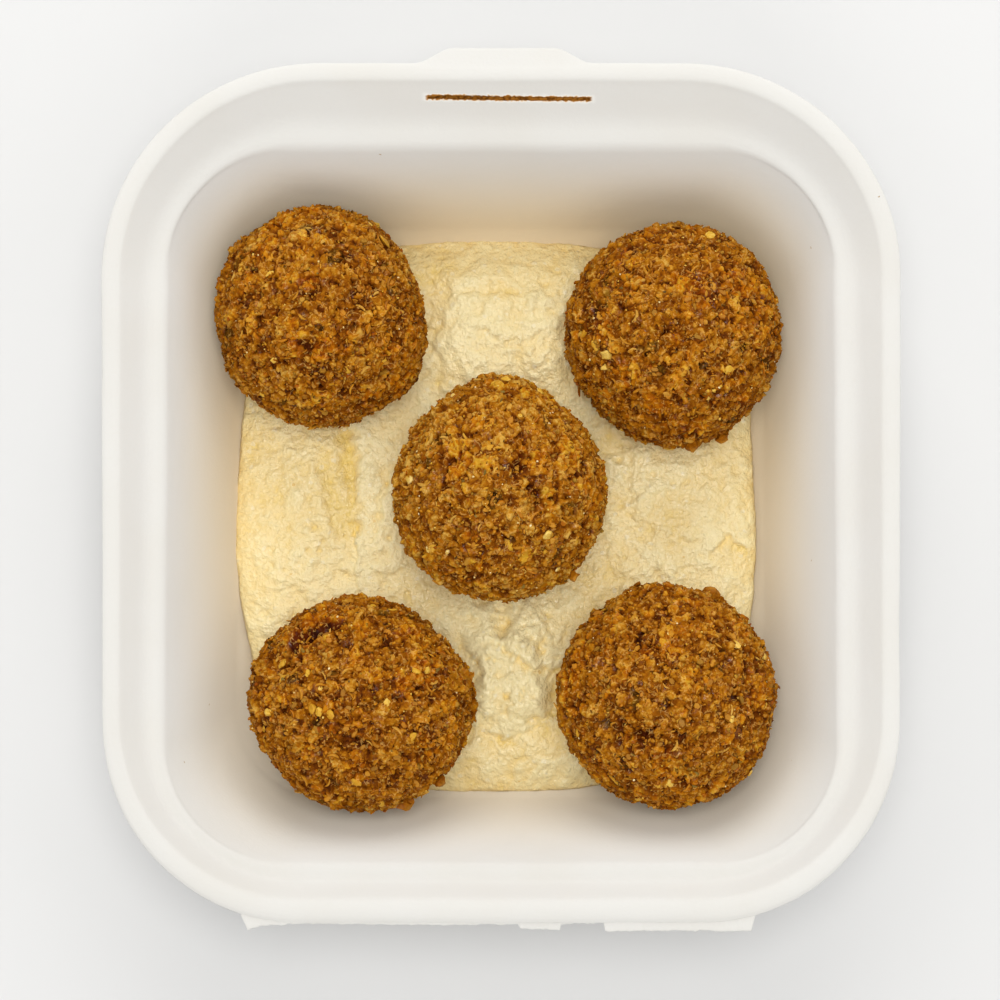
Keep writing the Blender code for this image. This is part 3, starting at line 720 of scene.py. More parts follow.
def softHill(x, y, middle, half, power):
    # 1 in the middle, fading past its half size; a higher power gives a flatter top and crisper sides
    return np.exp(-np.abs((x - middle[0]) / half[0]) ** power - np.abs((y - middle[1]) / half[1]) ** power)


def strokeDistance(x, y, line):
    # Distance to the nearest point of a line of straight stretches, and 1 on its left or -1 on its right
    away = np.full(x.shape, 99.0)
    side = np.ones(x.shape)
    for (startX, startY), (endX, endY) in zip(line, line[1:]):
        runX, runY = endX - startX, endY - startY
        share = np.clip(((x - startX) * runX + (y - startY) * runY) / (runX**2 + runY**2), 0, 1)
        here = np.hypot(x - startX - share * runX, y - startY - share * runY)
        left = np.sign(runX * (y - startY) - runY * (x - startX))
        side = np.where(here < away, left, side)
        away = np.minimum(away, here)
    return away, side


def hummusRelief(x, y):
    # Spoon marks: swells, then strokes as creases with one side lifted over the other, dimples and streaks
    bed = hummusBed
    probe = np.column_stack((x, y, 0 * x))
    drift = 0.9 * driftNoise(probe, 5, 61)
    driftX, driftY = x + drift[:, 0], y + drift[:, 1]
    swells = sum(up * softHill(driftX, driftY, middle, half, power)
                 for up, middle, half, power in bed["swells"].values())
    fine = 0.7 * driftNoise(probe, 1.7, 67)
    shiftX, shiftY = x + 0.4 * drift[:, 0] + fine[:, 0], y + 0.4 * drift[:, 1] + fine[:, 1]
    marks = np.zeros(x.shape)
    for depth, half, line in bed["strokes"].values():
        away, side = strokeDistance(shiftX, shiftY, line)
        crease = np.exp(-((away / half) ** 2))
        lift = side * np.tanh(1.2 * away / half) * np.exp(-away / (4.5 * half))
        marks = marks + depth * (0.9 * lift - 0.75 * crease)
    for middleX, middleY in bed["dimples"]:
        away = np.hypot(x - middleX, y - middleY) / bed["dimpleHalf"]
        marks = marks - bed["dimpleDepth"] * np.exp(-(away**2))
    streaks = bed["streaks"]
    wave = np.sin(streaks["across"] * (x + drift[:, 0]) + streaks["slant"] * y)
    marks = marks + streaks["height"] * wave * softHill(x, y, streaks["middle"], streaks["half"], 2)
    return swells, marks


def underBalls(x, y):
    # The level of the balls' undersides, ellipsoids with a flat spot, and how near each place is to a ball
    limit = np.full(x.shape, 99.0)
    nearBall = np.zeros(x.shape)
    for ball in falafelBalls.values():
        away = np.hypot((x - ball["middle"][0]) / ball["half"][0], (y - ball["middle"][1]) / ball["half"][1])
        under = ball["middle"][2] - ball["half"][2] * np.sqrt(1 - np.clip(away, 0, 1) ** 2)
        flat = ball["middle"][2] - crust["flatSpot"] * ball["half"][2]
        limit = np.minimum(limit, np.where(away < 1, np.maximum(under, flat), 99.0))
        nearBall = np.maximum(nearBall, np.exp(-((away - 0.70) / 0.07) ** 2))
    return limit, nearBall


def makeHummusMaterial():
    # Creamy and grainy: paler on crests and yellower in furrows, a painted highlight and shade, with a few
    # brown specks, pale specks that paint soft highlights, and a painted shade where the balls sit
    bed = hummusBed
    material, tree, shader, place = newMaterial("hummusSpread", {"Specular IOR Level": 0.5})
    grain = useGrain(tree, place, 900.0)
    level = readAttribute(tree, "level")
    both = mathNode(tree, "MULTIPLY_ADD", grain["Share"], 0.2, level)
    # Deep yellow for low tones and pale for high ones: painted shade and highlight
    colour = rampColour(tree, both, (
        (0.0, bed["deep"][:3]), (0.5, bed["body"][:3]), (1.0, bed["pale"][:3])))
    wet = noiseNode(tree, place, 90.0, 3.0)
    speckShare = mathNode(tree, "MULTIPLY", speckMask(tree, place, 240.0, 0.09, 0.84), 0.6)
    colour = blendColour(tree, speckShare, colour, bed["speck"])
    # Painted highlight: small pale spots that stand in for soft glints
    highlightSpeckShare = mathNode(tree, "MULTIPLY", speckMask(tree, place, 420.0, 0.2, 0.6), 0.35)
    colour = blendColour(tree, highlightSpeckShare, colour, bed["paleSpeckHighlight"])
    # Painted shade: deeper yellow in a ring where the hummus meets each ball
    contactShade = mathNode(tree, "MULTIPLY", readAttribute(tree, "contactShade"), 0.6)
    colour = blendColour(tree, contactShade, colour, bed["contactShade"])
    tree.links.new(colour, shader.inputs["Base Color"])
    tree.links.new(rangeNode(tree, wet[0], 0.4, 0.65, 0.38, 0.24), shader.inputs["Roughness"])
    addBump(tree, shader, grain["Height"], 1.0, 0.0012)
    return material


def makeHummus(material):
    # A square grid bent to the outline: ring by ring from the middle, then a rounded foot down the box's wall
    bed = hummusBed
    side = np.linspace(-1, 1, bed["fineness"] + 1)
    across, along = (axis.ravel() for axis in np.meshgrid(side, side))
    nearness = np.maximum(np.abs(across), np.abs(along))
    turn = np.arctan2(along, across)
    middleY = (bed["backY"] + bed["frontY"]) / 2
    around = np.column_stack((40 * np.cos(turn), 40 * np.sin(turn), 0 * turn))
    edgeNoise = bed["scallops"] * cloudNoise(around, 3.2, 65)
    reach = nearness * (hummusOutline(turn) + edgeNoise * nearness**6)
    x, y = reach * np.cos(turn), reach * np.sin(turn) + middleY
    inside = np.clip(1 - nearness**8, 0, 1)
    probe = np.column_stack((x, y, 0 * x))
    lumps = cloudNoise(probe, bed["lumpCell"], 81) * (0.55 + 0.45 * latticeNoise(probe, 11, 85))
    lumps = bed["lumps"] * lumps
    paste = bed["paste"] * (bed["smooth"] + softHill(x, y, bed["noseMiddle"], bed["noseHalf"], 3))
    cells = crumbCells(probe + 0.6 * driftNoise(probe, 2.2, 93), bed["pasteCell"], 95)
    grain = paste * (pebble(cells["near"], 1.0) - 0.6 + 0.5 * (cells["draw"] - 0.5))
    grain = grain + bed["grain"] * cloudNoise(probe, bed["grainCell"], 91, layers=2)
    swells, marks = hummusRelief(x, y)
    rise = bed["edge"] + (bed["bulk"] - bed["edge"]) * np.sqrt(inside)
    level = pulpBox["floorTop"] + rise + inside * (swells + marks) + (0.7 + 0.3 * inside) * (lumps + grain)
    for way, (drop, low, high) in ((-1, bed["thinFront"]), (1, bed["thinBack"])):
        level = level - drop * fade(way * y, low, high)
    level = level + bed["edgeWander"] * cloudNoise(around, 6.0, 67) * nearness**12
    limit, nearBall = underBalls(x, y)
    level = level + bed["ballRim"] * nearBall
    z = np.maximum(np.minimum(level, limit + bed["ballTouch"]), pulpBox["floorTop"] + bed["least"])
    # Tone for the colour: a random stain, and painted shade and highlight from the lumps, grains, marks and
    # swells
    stain = cloudNoise(probe + (0, 0, 40), 6.0, 99)
    tone = bed["tone"]
    shadedTone = tone["base"] + tone["lumps"] * lumps + tone["grain"] * grain + tone["marks"] * marks
    shadedTone = np.clip(shadedTone + tone["swells"] * swells + tone["stain"] * stain, 0, 1)
    points = np.column_stack((x, y, z))
    faces = gridFaces(len(side), len(side), ring=False)
    points, faces, shadedTone, nearBall = addFoot(points, faces, shadedTone, nearBall, middleY)
    mesh = makeMesh("hummusBed", points, faces, {"level": shadedTone, "contactShade": nearBall}, shut=True)
    return makePiece(mesh, material, "hummus", "hummus")


def addFoot(points, faces, shadedTone, nearBall, middleY):
    # Rings that go on from the grid's border, drawn in and down by the foot's shares and drops
    count = hummusBed["fineness"] + 1
    index = np.arange(count * count).reshape(count, count)
    border = np.concatenate((index[0, :-1], index[:-1, -1], index[-1, :0:-1], index[:0:-1, 0]))
    rings = [points[border]]
    middle = np.array((0, middleY))
    for share, drop in hummusBed["foot"]:
        ring = points[border].copy()
        ring[:, :2] = middle + (ring[:, :2] - middle) * share
        ring[:, 2] = np.maximum(ring[:, 2] - drop, pulpBox["floorTop"] + 0.2)
        rings.append(ring)
    start = len(points)
    below = gridFaces(len(rings), len(border))
    numbers = np.concatenate((border, start + np.arange(len(border) * (len(rings) - 1))))
    points = np.vstack([points, *rings[1:]])
    faces = np.vstack((faces, numbers[below]))
    # The foot's sides get a tone a little deeper than the top's base: painted shade
    shadedTone = np.concatenate((shadedTone, np.full(len(points) - len(shadedTone), 0.4)))
    nearBall = np.concatenate((nearBall, np.zeros(len(points) - len(nearBall))))
    return points, faces, shadedTone, nearBall


# Falafel: five fried balls, each a round form with crags, crumbs, pits and bits of its own

# Each ball's tone offset is painted light: the centre ball, which sits highest, is made paler and the others
# a little darker
falafelBalls = {
    "falafel_back_left": {
        "middle": (-35.7, 35.6, 22.4), "half": (20.9, 21.8, 19.3), "crag": 0.55, "seed": 11,
        "lumps": ((25, 5, 0.5, -0.055), (100, 25, 0.35, 0.025), (145, 5, 0.35, 0.035), (328, 5, 0.4, 0.06)),
        "hollows": (), "paintedLightTone": 0.0, "piece": "falafelBackLeft",
    },
    "falafel_back_right": {
        "middle": (33.9, 32.0, 22.4), "half": (21.2, 22.0, 19.3), "crag": 0.6, "seed": 12,
        "lumps": ((48, 10, 0.4, 0.035), (275, 15, 0.35, 0.05), (228, 10, 0.5, -0.045), (5, 5, 0.5, 0.02)),
        "hollows": (), "paintedLightTone": -0.03, "piece": "falafelBackRight",
    },
    "falafel_centre": {
        "middle": (-0.2, 1.3, 24.6), "half": (21.2, 21.7, 19.0), "crag": 0.6, "seed": 13,
        "lumps": ((88, 15, 0.35, 0.05), (45, 10, 0.5, -0.07), (140, 10, 0.5, -0.045), (232, 0, 0.5, 0.035),
                  (290, 10, 0.5, 0.03)),
        "hollows": ((3.6, 3.2, 2.6, 1.0, 60, 1.6), (7.6, -3.0, 2.2, 0.9, 110, 1.2)),
        "paintedLightTone": 0.09, "piece": "falafelCentre",
    },
    "falafel_front_left": {
        "middle": (-27.7, -41.0, 22.4), "half": (21.8, 20.9, 19.2), "crag": 1.0, "seed": 14,
        "lumps": ((45, 5, 0.4, -0.05), (105, 30, 0.3, 0.02), (130, 45, 0.2, -0.09), (155, 35, 0.22, -0.08),
                  (5, 5, 0.4, 0.03), (165, 5, 0.3, 0.03), (215, 5, 0.4, -0.02)),
        "hollows": ((-12.6, 11.6, 3.2, 1.0, 65, 1.8), (-8.6, 13.8, 3.0, 1.1, 30, 2.0),
                    (-4.6, 15.6, 2.2, 0.8, 10, 1.4)),
        "paintedLightTone": -0.03, "piece": "falafelFrontLeft",
    },
    "falafel_front_right": {
        "middle": (32.7, -39.6, 22.4), "half": (21.3, 21.8, 19.3), "crag": 0.7, "seed": 15,
        "lumps": ((95, 10, 0.4, 0.02), (215, 55, 0.2, -0.05), (300, 5, 0.5, 0.02), (185, 10, 0.5, 0.015)),
        "hollows": ((-10.3, -7.4, 2.6, 0.9, 80, 1.6), (-6.1, -7.6, 1.8, 0.9, 20, 1.4),
                    (-4.1, 9.8, 1.2, 0.6, 40, 1.2)),
        "paintedLightTone": -0.02, "piece": "falafelFrontRight",
    },
}
crust = {
    "fineness": 120, "towardsTop": 0.24, "flatSpot": 0.86,
    "cragCell": 4.6, "cragDome": 0.6, "cragLattice": 16,
    "clumpCell": 3.1, "clumpHeight": 0.55, "clumpStep": 0.7, "clumpDome": 0.6,
    "flakeCell": 1.7, "flakeLean": 0.55, "flakeSpread": 0.60, "gap": 0.34,
    "grainCell": 0.62, "grainHeight": 0.13, "grainReach": 0.85, "grainBase": 0.6, "grainStep": 0.6,
    "wormCell": 0.8, "wormHeight": 0.26, "wormWidth": 0.32,
    "poreCell": 0.95, "poreShare": 0.5, "poreDepth": 0.5, "poreWidth": 0.24,
    "pitCell": 2.7, "pitShare": 0.66, "pitDepth": 1.25, "pitWidth": 0.17,
    "gapWidth": 0.13, "drift": 0.40, "driftCell": 1.5, "lean": 0.20, "leanCell": 0.9,
    "tone": {"flake": 0.5, "clump": 0.25, "grain": 0.35}, "hue": {"cloud": 0.34, "flake": 0.3, "clump": 0.2},
    "hueCell": 4.5,
    # The rim colour is a painted highlight round the scales, and the pit colour a painted shade in the pits
    "rim": (0.78, 0.44, 0.11, 1), "pit": (0.05, 0.013, 0.002, 1),
}


def cubeDirections():
    # Directions through an even grid on a cube's six faces, drawn a little towards the top, which shows most
    count = crust["fineness"]
    step = np.arange(count + 1)
    first, second = np.meshgrid(step, step, indexing="ij")
    flat = np.zeros_like(first)
    sides = []
    for axis in range(3):
        for level in (0, count):
            side = [first, second]
            side.insert(axis, flat + level)
            sides.append(np.stack(side, axis=-1).reshape(-1, 3))
    places = np.vstack(sides)
    keys = (places[:, 0] * (count + 1) + places[:, 1]) * (count + 1) + places[:, 2]
    where, numbers = np.unique(keys, return_index=True, return_inverse=True)[1:]
    faces = gridFaces(count + 1, count + 1, ring=False)
    faces = np.vstack([numbers.ravel()[faces + k * (count + 1) ** 2] for k in range(6)])
    cube = np.tan((places[where] / count - 0.5) * math.pi / 2)
    directions = unitRows(cube) + np.array((0, 0, crust["towardsTop"]))
    return unitRows(directions), faces


def ballSurface(directions, ball):
    # An ellipsoid with broad lumps and dents, each a bell around its own direction, flat where the ball rests
    factor = np.ones(len(directions))
    for azimuth, elevation, width, height in ball["lumps"]:
        up, around = math.radians(elevation), math.radians(azimuth)
        towards = np.array((math.cos(up) * math.cos(around), math.cos(up) * math.sin(around), math.sin(up)))
        away = np.arccos(np.clip(directions @ towards, -1, 1))
        factor += height * np.exp(-((away / width) ** 2))
    points = directions * factor[:, None] * np.array(ball["half"])
    points[:, 2] = np.maximum(points[:, 2], -crust["flatSpot"] * ball["half"][2])
    return points


def pebble(nearest, reach):
    # The rounded back of a crumb: a half circle over its reach
    return np.sqrt(np.clip(1 - (nearest / reach) ** 2, 0, 1))


def crustHoles(points, kind, seed):
    # Round holes at the hearts of some of the cells: pores or deeper pits
    cells = crumbCells(points, crust[kind + "Cell"], seed)
    hole = np.exp(-((cells["near"] / crust[kind + "Width"]) ** 2))
    return (cells["draw"] > crust[kind + "Share"]) * hole * crust[kind + "Depth"]


def crustRelief(points, ball):
    # Crags as in the solids, then clumps, tilted flakes with gaps between them, grains, worm-like ridges,
    # pores and pits, all in millimetres outwards
    seed = ball["seed"] * 100
    crag = crumbCells(points, crust["cragCell"], ball["seed"], crust["cragLattice"])
    crags = ball["crag"] * (crag["draw"] - 0.5 + crust["cragDome"] * (0.5 - crag["near"]))
    moved = points + crust["drift"] * driftNoise(points, crust["driftCell"], seed)
    clump = crumbCells(moved, crust["clumpCell"], seed + 5)
    clumps = crust["clumpHeight"] * (
        crust["clumpStep"] * (clump["draw"] - 0.5) + crust["clumpDome"] * (0.5 - clump["near"]))
    flake = crumbCells(moved, crust["flakeCell"], seed + 6)
    flakes = crust["flakeLean"] * flake["slope"] + crust["flakeSpread"] * (flake["draw"] - 0.5)
    flakes = flakes - crust["gap"] * np.exp(-(((flake["second"] - flake["near"]) / crust["gapWidth"]) ** 2))
    grain = crumbCells(moved, crust["grainCell"], seed + 7)
    dome = pebble(grain["near"], crust["grainReach"]) - crust["grainBase"]
    grains = crust["grainHeight"] * (dome + crust["grainStep"] * (grain["draw"] - 0.5))
    worm = np.abs(latticeNoise(moved, crust["wormCell"], seed + 8))
    worms = crust["wormHeight"] * (0.5 - np.minimum(worm / crust["wormWidth"], 1))
    pores = crustHoles(moved, "pore", seed + 10)
    pits = crustHoles(moved, "pit", seed + 9)
    fine = flakes + grains + worms - pores - pits
    for middleX, middleY, halfLong, halfShort, turn, depth in ball["hollows"]:
        cosTurn, sinTurn = math.cos(math.radians(turn)), math.sin(math.radians(turn))
        alongX, alongY = points[:, 0] - middleX, points[:, 1] - middleY
        long = (alongX * cosTurn + alongY * sinTurn) / halfLong
        short = (alongY * cosTurn - alongX * sinTurn) / halfShort
        fine = fine - depth * np.exp(-(long**2) - short**2) * (points[:, 2] > 0)
    flakeDraw, clumpDraw, grainDraw = flake["draw"] - 0.5, clump["draw"] - 0.5, grain["draw"] - 0.5
    share = crust["tone"]
    tone = 0.5 + share["flake"] * flakeDraw + share["clump"] * clumpDraw + share["grain"] * grainDraw
    share = crust["hue"]
    hue = 0.5 + share["cloud"] * cloudNoise(points, crust["hueCell"], seed + 50)
    hue = hue + share["flake"] * flakeDraw + share["clump"] * clumpDraw
    return crags, clumps, fine, np.clip(tone, 0, 1), hue


def makeBall(node, directions, faces, material):
    # The smooth ball pushed out along its own normals by the relief, and leant sideways a little by noise
    ball = falafelBalls[node]
    half = np.array(ball["half"])
    surface = ballSurface(directions, ball)
    outwards = unitRows(directions / half)
    crags, clumps, fine, tone, hue = crustRelief(surface, ball)
    lean = crust["lean"] * driftNoise(surface, crust["leanCell"], ball["seed"] * 100 + 20)
    points = surface + directions * crags[:, None] + outwards * (clumps + fine)[:, None] + lean
    points[:, 2] = np.maximum(points[:, 2], -crust["flatSpot"] * half[2])
    # Depth for the colour, low in gaps, pores and pits and high on crests: it paints shade and highlight
    depth = np.clip(0.66 + 0.62 * fine + 0.2 * clumps, 0, 1)
    middle = np.array(ball["middle"])
    # The ball's tone offset paints light onto its colour
    values = {"tone": tone + ball["paintedLightTone"], "hue": hue, "depth": depth}
    mesh = makeMesh(ball["piece"], points + middle, faces, values)
    makePiece(mesh, material, "falafel", node)
    return points + middle, outwards


def makeCrustMaterial():
    # Fried crumb: tone and hue by crumb, painted shade by depth and in the pits, painted highlights on crests
    # and scale rims, with a few oily glints
    material, tree, shader, place = newMaterial("friedCrust", {
        "Specular IOR Level": 0.04, "Coat Roughness": 0.2})
    grain = useGrain(tree, place, 2600.0)
    bubbles = useGroup(tree, bubbleGroup, {"Vector": place, "Bubbles per metre": 750.0})
    # Painted highlight: thin pale rims round the scales
    rimHighlightShare = mathNode(tree, "MULTIPLY", bubbles["Rim highlight"], 0.42)
    colour = blendColour(tree, rimHighlightShare, friedColourAndShade(tree, grain), crust["rim"])
    # Painted shade: the pits darkened almost to black
    pitShare = mathNode(tree, "MULTIPLY", bubbles["Pit"], 0.85)
    tree.links.new(blendColour(tree, pitShare, colour, crust["pit"]), shader.inputs["Base Color"])
    oily = noiseNode(tree, place, 520.0, 2.0)
    tree.links.new(rangeNode(tree, oily[0], 0.42, 0.62, 0.65, 0.4), shader.inputs["Roughness"])
    tree.links.new(rangeNode(tree, oily[0], 0.58, 0.68, 0.0, 0.45), shader.inputs["Coat Weight"])
    sunk = mathNode(tree, "MULTIPLY_ADD", bubbles["Pit"], -1.2, grain["Height"])
    addBump(tree, shader, sunk, 0.7, 0.00026)
    return material


# Loose crumbs, strands, chickpea chips and herb flecks that stick to the balls

bits = {
    "crumbs": {"perBall": 1500, "seed": 501, "size": (0.22, 0.6), "shape": (1.0, 0.75, 0.6), "sink": 0.25,
               "tipping": 0.5, "jitter": 0.17, "tone": (0.15, 0.85), "hue": (0.05, 0.95), "lowest": -0.35},
    "flakes": {"perBall": 520, "seed": 505, "size": (0.4, 0.95), "shape": (1.0, 0.7, 0.34), "sink": 0.2,
               "tipping": 0.5, "jitter": 0.12, "tone": (0.15, 0.8), "hue": (0.1, 0.92), "lowest": -0.35},
    "strands": {"perBall": 240, "seed": 502, "size": (0.7, 1.35), "shape": (1.0, 0.25, 0.2), "sink": 0.08,
                "tipping": 0.3, "jitter": 0.0, "tone": (0.3, 0.95), "hue": (0.2, 0.8), "lowest": -0.3},
    "knobs": {"perBall": 0, "seed": 507, "size": (0.8, 0.8), "shape": (1.0, 0.8, 0.75), "sink": -0.15,
              "tipping": 0.1, "jitter": 0.2, "tone": (0.45, 0.6), "hue": (0.3, 0.7), "lowest": -0.6,
              "placed": (  # (ball, place across and along from its middle, size)
                  ("falafel_centre", 14.8, -17.7, 1.5), ("falafel_back_right", 10.2, -20.6, 1.4),
                  ("falafel_back_right", 3.7, -22.2, 1.6), ("falafel_front_right", 9.0, 19.6, 1.9),
                  ("falafel_front_right", 10.4, 18.9, 1.3), ("falafel_front_left", 15.6, -14.9, 1.3),
                  ("falafel_front_left", 16.8, -15.6, 1.2), ("falafel_front_left", 9.2, -20.2, 1.5))},
    # Tiny pale grains: partly real chickpea bits and partly a painted highlight standing in for glints
    "glintBeads": {"perBall": 90, "seed": 506, "size": (0.13, 0.27), "shape": (1.0, 0.85, 0.7), "sink": -0.6,
              "tipping": 0.3, "jitter": 0.12, "tone": (0.2, 1.0), "hue": (0.4, 0.6), "lowest": -0.1,
              "placed": (("falafel_back_right", 7.3, -12.4, 0.45), ("falafel_back_right", 8.4, -11.6, 0.4),
                         ("falafel_back_right", 6.2, -12.6, 0.35))},
    "chips": {"perBall": 16, "seed": 503, "size": (0.6, 1.15), "shape": (1.0, 0.75, 0.38), "sink": 0.1,
              "tipping": 0.3, "jitter": 0.12, "tone": (0.0, 0.7), "hue": (0.4, 0.6), "lowest": -0.2,
              "placed": (("falafel_back_right", -13.2, -5.6, 1.5), ("falafel_back_right", -15.6, -3.5, 1.1),
                         ("falafel_back_left", 12.9, 14.1, 1.5), ("falafel_centre", 1.9, -11.9, 1.1),
                         ("falafel_centre", 9.2, -10.0, 1.2), ("falafel_front_left", -8.5, -0.8, 1.4),
                         ("falafel_front_left", -5.0, -2.1, 1.0), ("falafel_front_left", 6.1, 0.0, 1.2),
                         ("falafel_front_left", 10.6, -6.4, 1.0), ("falafel_front_right", 1.4, -4.5, 1.1))},
    "herbs": {"perBall": 22, "seed": 504, "size": (0.35, 0.75), "shape": (1.0, 0.5, 0.14), "sink": 0.0,
              "tipping": 0.35, "jitter": 0.2, "tone": (0.0, 1.0), "hue": (0.4, 0.6), "lowest": -0.2},
}


def roundShape(level):
    # A small round shape of triangles, one unit in radius: 20 faces at level 1 and 80 at level 2
    shell = bmesh.new()
    bmesh.ops.create_icosphere(shell, subdivisions=level, radius=1)
    points = np.array([vertex.co[:] for vertex in shell.verts])
    faces = np.array([[vertex.index for vertex in face.verts] for face in shell.faces])
    shell.free()
    return points, faces


def plateShape():
    # A thick six-sided plate: rings of points along its top edge, widest line and bottom edge, and two lids
    turn = np.arange(6) * math.pi / 3
    rings = [np.column_stack((wide * np.cos(turn), wide * np.sin(turn), level + 0 * turn))
             for wide, level in ((0.78, 1.0), (1.0, 0.15), (0.7, -1.0))]
    quads = gridFaces(len(rings), len(turn))
    lid = np.array(((0, 1, 2), (0, 2, 3), (0, 3, 4), (0, 4, 5)))
    return np.vstack(rings), np.vstack((quads[:, (0, 1, 2)], quads[:, (0, 2, 3)], lid[:, ::-1], 12 + lid))


def strandShape():
    # A short bent worm: rings of five points along a shallow arc, pinched at both ends
    along = np.array((-1.0, -0.82, -0.4, 0.0, 0.4, 0.82, 1.0))
    fat = np.array((0.25, 0.75, 1.0, 1.0, 1.0, 0.75, 0.25))
    turn = np.arange(5) * 2 * math.pi / 5
    x = along[:, None] + 0 * turn
    y = fat[:, None] * np.cos(turn) + 1.4 * along[:, None] ** 2
    z = fat[:, None] * np.sin(turn)
    points = np.stack((x, y, z), axis=-1).reshape(-1, 3)
    quads = gridFaces(len(along), len(turn))
    faces = np.vstack((quads[:, (0, 1, 2)], quads[:, (0, 2, 3)]))
    last = 5 * (len(along) - 1)
    caps = np.array(((0, 2, 1), (0, 3, 2), (0, 4, 3)))
    return points, np.vstack((faces, caps, last + caps[:, ::-1]))


# Each loose bit's depth from its own height: paler on its outer side and darker underneath, a painted
# highlight and shade
paintedShadeOnBits = {"middle": 0.72, "swing": 0.26}
bitStretch = (0.75, 1.25)


def scatterBits(kind, shape, surfaces, material):
    # Copies of one shape, each turned about the crust's normal, tipped, stretched and sunk into it at random.
    # A few have a place of their own, on the crust above a spot of their ball
    look = bits[kind]
    random = np.random.default_rng(look["seed"])
    unit, faces = shape
    spots, normals, size, paintedLightTone = [], [], [], []
    for node, (points, outwards) in surfaces.items():
        upper = np.flatnonzero(outwards[:, 2] > look["lowest"])
        chosen = list(random.choice(upper, look["perBall"], replace=False))
        size += list(random.uniform(*look["size"], look["perBall"]))
        for ball, awayX, awayY, own in look.get("placed", ()):
            if ball == node:
                spot = np.array(falafelBalls[node]["middle"][:2]) + (awayX, awayY)
                chosen.append(upper[np.argmin(np.linalg.norm(points[upper, :2] - spot, axis=1))])
                size.append(own)
        spots.append(points[chosen])
        normals.append(outwards[chosen])
        paintedLightTone += [falafelBalls[node]["paintedLightTone"]] * len(chosen)
    spots, normals, size = np.vstack(spots), np.vstack(normals), np.array(size)
    amount = len(spots)
    # The ball's painted light goes onto its loose bits too
    tone = random.uniform(*look["tone"], amount) + np.array(paintedLightTone)
    hue = random.uniform(*look["hue"], amount)
    tipped = unitRows(normals + look["tipping"] * random.normal(size=(amount, 3)))
    sideways = unitRows(np.cross(tipped, random.normal(size=(amount, 3))))
    third = np.cross(tipped, sideways)
    stretch = np.array(look["shape"]) * random.uniform(*bitStretch, (amount, 3))
    local = unit * (1 + look["jitter"] * random.normal(size=(amount, len(unit), 1)))
    local = local * (stretch * size[:, None])[:, None, :]
    axes = np.stack((sideways, third, tipped), axis=1)
    centres = spots - normals * (look["sink"] * size)[:, None]
    placed = centres[:, None, :] + np.einsum("nvk,nkj->nvj", local, axes)
    everyFace = faces[None] + (np.arange(amount) * len(unit))[:, None, None]
    # The depth attribute paints shade on each bit's underside and a highlight on its top
    values = {"tone": np.repeat(tone, len(unit)), "hue": np.repeat(hue, len(unit)),
              "depth": np.tile(paintedShadeOnBits["middle"] + paintedShadeOnBits["swing"] * unit[:, 2], amount)}
    mesh = makeMesh("falafel" + kind.capitalize(), placed.reshape(-1, 3), everyFace.reshape(-1, 3), values)
    if kind != "crumbs":
        mesh.shade_flat()
    return makePiece(mesh, material, "falafel")


def makeLooseMaterial():
    # The crust's own colours for what lies loose on it, with the painted shade and highlight that its depth
    # carries
    material, tree, shader, place = newMaterial("looseCrumb", {
        "Roughness": 0.5, "Specular IOR Level": 0.06, "Coat Weight": 0.03, "Coat Roughness": 0.2})
    grain = useGrain(tree, place, 2400.0)
    tree.links.new(friedColourAndShade(tree, grain), shader.inputs["Base Color"])
    addBump(tree, shader, grain["Height"], 0.5, 0.0002)
    return material


def makeBitMaterial(name, stops, roughness):
    # One colour a bit, from a ramp along its tone, with fine mottling
    material, tree, shader, place = newMaterial(name, {"Roughness": roughness, "Specular IOR Level": 0.2})
    grain = useGrain(tree, place, 2200.0)
    mottled = mathNode(tree, "MULTIPLY_ADD", grain["Share"], 0.3, readAttribute(tree, "tone"))
    shifted = mathNode(tree, "SUBTRACT", mottled, 0.15)
    tree.links.new(rampColour(tree, shifted, stops), shader.inputs["Base Color"])
    addBump(tree, shader, grain["Height"], 0.5, 0.0002)
    return material


# Studio: pale floor, soft light from above and behind, and the camera of the photograph

studio = {
    "floor": (0.708, 0.708, 0.706, 1), "floorMottle": (0.693, 0.693, 0.69, 1), "floorHalf": 3.0,
    "sky": (1.0, 1.0, 1.0, 1), "skyStrength": 0.405,
    "lights": {
        "overhead": {"place": (0.02, 0.02, 1.1), "size": 0.5, "watts": 5.2, "colour": (1.0, 0.99, 0.97)},
        "back": {"place": (0.0, 0.95, 0.75), "size": 0.9, "watts": 6.15, "colour": (1.0, 0.99, 0.97)},
        "front": {"place": (0.0, -0.8, 0.9), "size": 0.9, "watts": 2.9, "colour": (1.0, 0.99, 0.97)},
        "left": {"place": (-0.9, 0.1, 0.8), "size": 0.9, "watts": 1.38, "colour": (0.98, 0.99, 1.0)},
        "right": {"place": (0.9, 0.1, 0.8), "size": 0.9, "watts": 1.4, "colour": (0.98, 0.99, 1.0)},
    },
    "cameraPlace": (-0.0002, -0.03574, 0.59301), "cameraTilt": math.atan(0.06), "lens": 103.83,
}


def makeFloor():
    # A wide flat sheet of grid points with a faintly mottled finish
    half = studio["floorHalf"] / mm
    side = np.linspace(-half, half, 9)
    x, y = np.meshgrid(side, side)
    points = np.column_stack((x.ravel(), y.ravel() - rimMiddleY, 0 * x.ravel()))
    mesh = makeMesh("studioFloor", points, gridFaces(9, 9, ring=False))
    floor = bpy.data.objects.new("studioFloor", mesh)
    bpy.context.scene.collection.objects.link(floor)
    material, tree, shader, place = newMaterial("paleFloor", {"Roughness": 0.7})
    cloud = noiseNode(tree, place, 6.0, 2.0)
    share = rangeNode(tree, cloud[0], 0.3, 0.7)
    colour = blendColour(tree, share, studio["floor"], studio["floorMottle"])
    tree.links.new(colour, shader.inputs["Base Color"])
    mesh.materials.append(material)


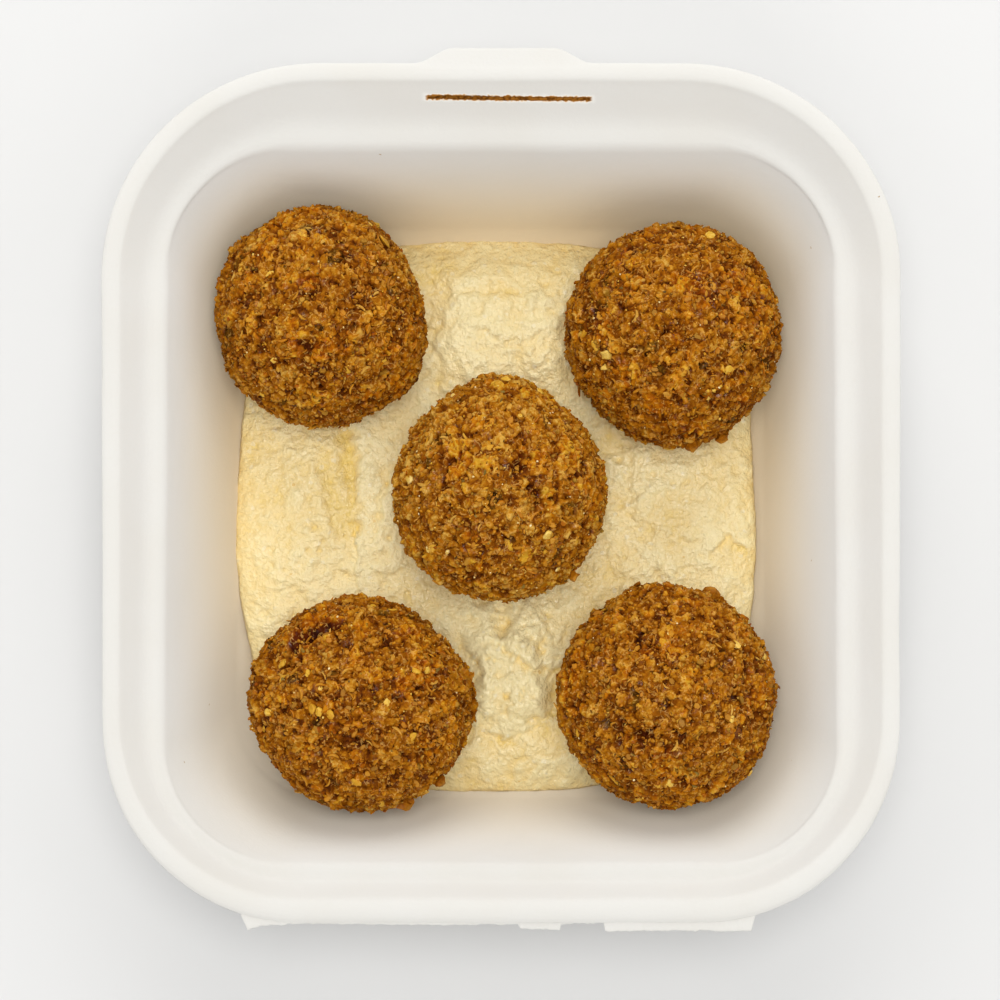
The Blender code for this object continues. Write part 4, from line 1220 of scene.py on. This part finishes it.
def makeLight(name, look):
    light = bpy.data.lights.new(name, "AREA")
    light.shape = "DISK"
    light.size = look["size"]
    light.energy = look["watts"]
    light.color = look["colour"]
    lamp = bpy.data.objects.new(name, light)
    lamp.location = look["place"]
    x, y, z = look["place"]
    lamp.rotation_euler = (math.atan2(math.hypot(x, y), z), 0, math.atan2(x, -y))
    bpy.context.scene.collection.objects.link(lamp)


def makeStudio():
    makeFloor()
    for name, look in studio["lights"].items():
        makeLight(name, look)
    world = bpy.data.worlds.new("softSky")
    world.use_nodes = True
    world.node_tree.nodes["Background"].inputs["Color"].default_value = studio["sky"]
    world.node_tree.nodes["Background"].inputs["Strength"].default_value = studio["skyStrength"]
    scene = bpy.context.scene
    scene.world = world
    scene.view_settings.view_transform = "Standard"
    camera = bpy.data.cameras.new("camera")
    camera.sensor_width = 36
    camera.lens = studio["lens"]
    camera.clip_start = 0.01
    viewer = bpy.data.objects.new("camera", camera)
    viewer.location = studio["cameraPlace"]
    viewer.rotation_euler = (studio["cameraTilt"], 0, 0)
    scene.collection.objects.link(viewer)
    scene.camera = viewer


makeStudio()
print("studio ready")
pulpMaterial = makePulpMaterial()
makePulpBox(pulpMaterial)
makeSlotFringe(pulpMaterial)
makeHingeStrip(pulpMaterial)
print("box and hinge strip ready")
makeHummus(makeHummusMaterial())
print("hummus ready")
crustMaterial = makeCrustMaterial()
ballDirections, ballFaces = cubeDirections()
crusts = {node: makeBall(node, ballDirections, ballFaces, crustMaterial) for node in falafelBalls}
print("falafel balls ready")
looseMaterial = makeLooseMaterial()
for kind, shape in (("crumbs", roundShape(1)), ("flakes", plateShape()), ("strands", strandShape()),
                    ("knobs", roundShape(2))):
    scatterBits(kind, shape, crusts, looseMaterial)
paleStops = ((0.0, (0.52, 0.24, 0.01)), (0.4, (0.66, 0.37, 0.03)), (0.75, (0.78, 0.53, 0.12)),
             (1.0, (0.88, 0.72, 0.40)))
herbStops = ((0.0, (0.09, 0.045, 0.006)), (0.5, (0.17, 0.10, 0.014)), (1.0, (0.26, 0.17, 0.03)))
paleMaterial = makeBitMaterial("chickpeaChip", paleStops, 0.45)
scatterBits("chips", roundShape(2), crusts, paleMaterial)
scatterBits("glintBeads", roundShape(1), crusts, paleMaterial)
scatterBits("herbs", roundShape(1), crusts, makeBitMaterial("herbFleck", herbStops, 0.6))
print("crumbs and bits ready")
